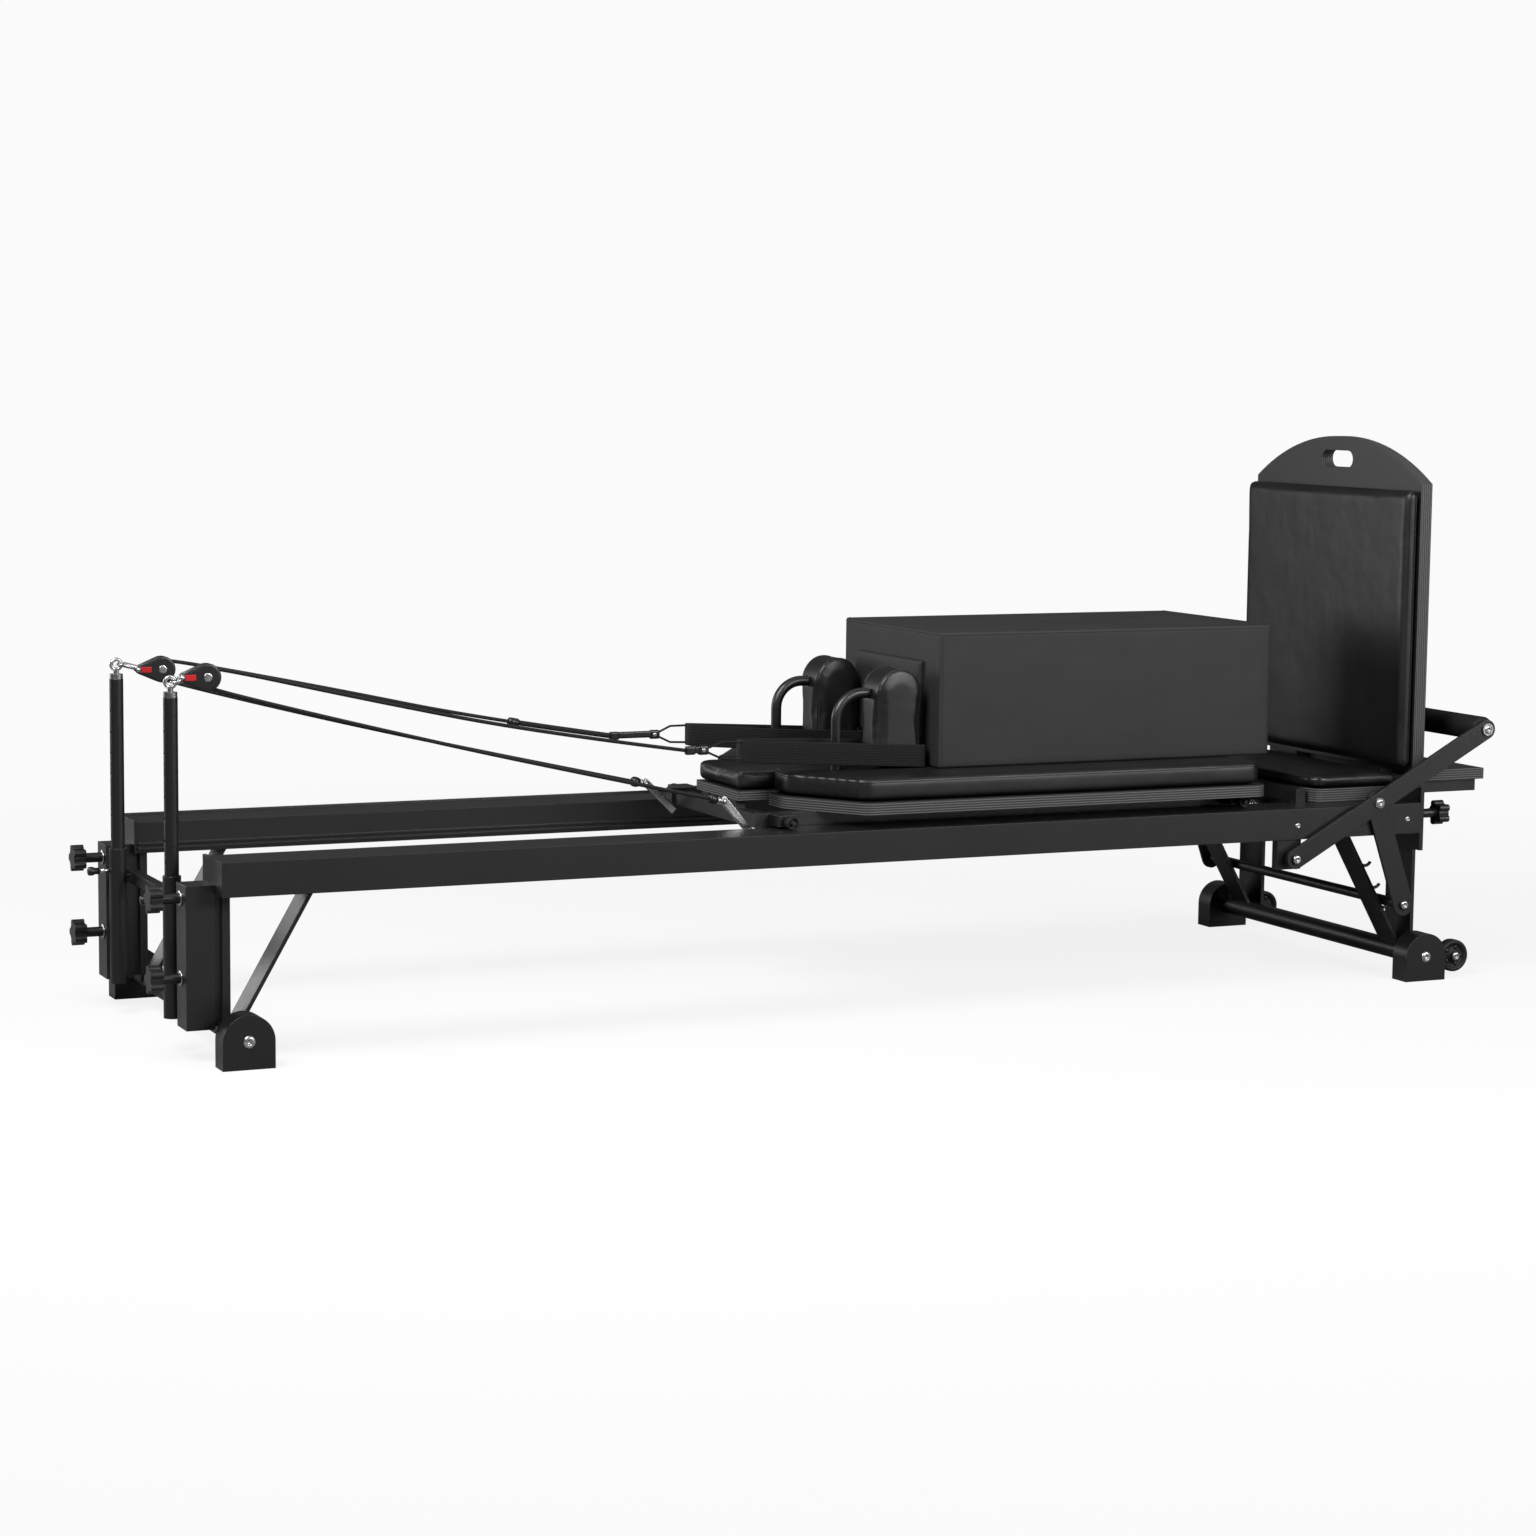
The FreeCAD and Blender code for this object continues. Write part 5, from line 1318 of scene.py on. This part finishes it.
flatness = spread(tree, distance.outputs["Value"], SHADOW_REACH, BACKDROP_REACH,
                  FLOOR_FLATNESS, 1.0)
backdrop_share = maths(tree, "MULTIPLY", looked_at, flatness)
lit = add(tree, "ShaderNodeMixShader", {0: backdrop_share, 1: shader.outputs[0],
                                        2: glow.outputs[0]})
sheet = next(node for node in tree.nodes if node.type == "OUTPUT_MATERIAL")
tree.links.new(lit.outputs[0], sheet.inputs["Surface"])
floor_mesh.materials.append(paper)

world = bpy.data.worlds.new("studio")
bpy.context.scene.world = world
world.use_nodes = True
tree = world.node_tree
tree.nodes.clear()
seen_directly = add(tree, "ShaderNodeLightPath").outputs["Is Camera Ray"]
wall = add(tree, "ShaderNodeBackground", {"Color": (0.96, 0.96, 0.96, 1), "Strength": 1.0})
fill = add(tree, "ShaderNodeBackground", {"Color": (1, 1, 1, 1), "Strength": FILL_LIGHT})
mixed = add(tree, "ShaderNodeMixShader", {0: seen_directly, 1: fill.outputs[0],
                                          2: wall.outputs[0]})
add(tree, "ShaderNodeOutputWorld", {"Surface": mixed.outputs[0]})
bpy.context.scene.view_settings.view_transform = "Standard"


def soft_light(name, place, aim, size, power):
    """A square area light at a place, facing a point."""
    data = bpy.data.lights.new(name, "AREA")
    data.shape = "RECTANGLE"
    data.size, data.size_y = size
    data.energy = power
    lamp = bpy.data.objects.new(name, data)
    lamp.location = place
    lamp.rotation_euler = (Vector(aim) - Vector(place)).to_track_quat("-Z", "Y").to_euler()
    bpy.context.collection.objects.link(lamp)


soft_light("overhead", (0.4, -0.2, 3.6), (0.3, 0, 0.4), (4.6, 1.6), 22)
soft_light("front_high", (1.9, -4.4, 2.4), (1.0, 0, 0.4), (2.8, 1.4), 185)
soft_light("key_left", (-2.6, -1.4, 3.2), (0.4, 0, 0.6), (1.8, 1.8), 200)
soft_light("back_left", (-3.4, 3.4, 1.3), (0.9, 0, 0.7), (2.6, 1.8), 72)
soft_light("strip_right", (3.4, -3.0, 1.4), (0.8, 0, 0.3), (0.5, 2.2), 26)
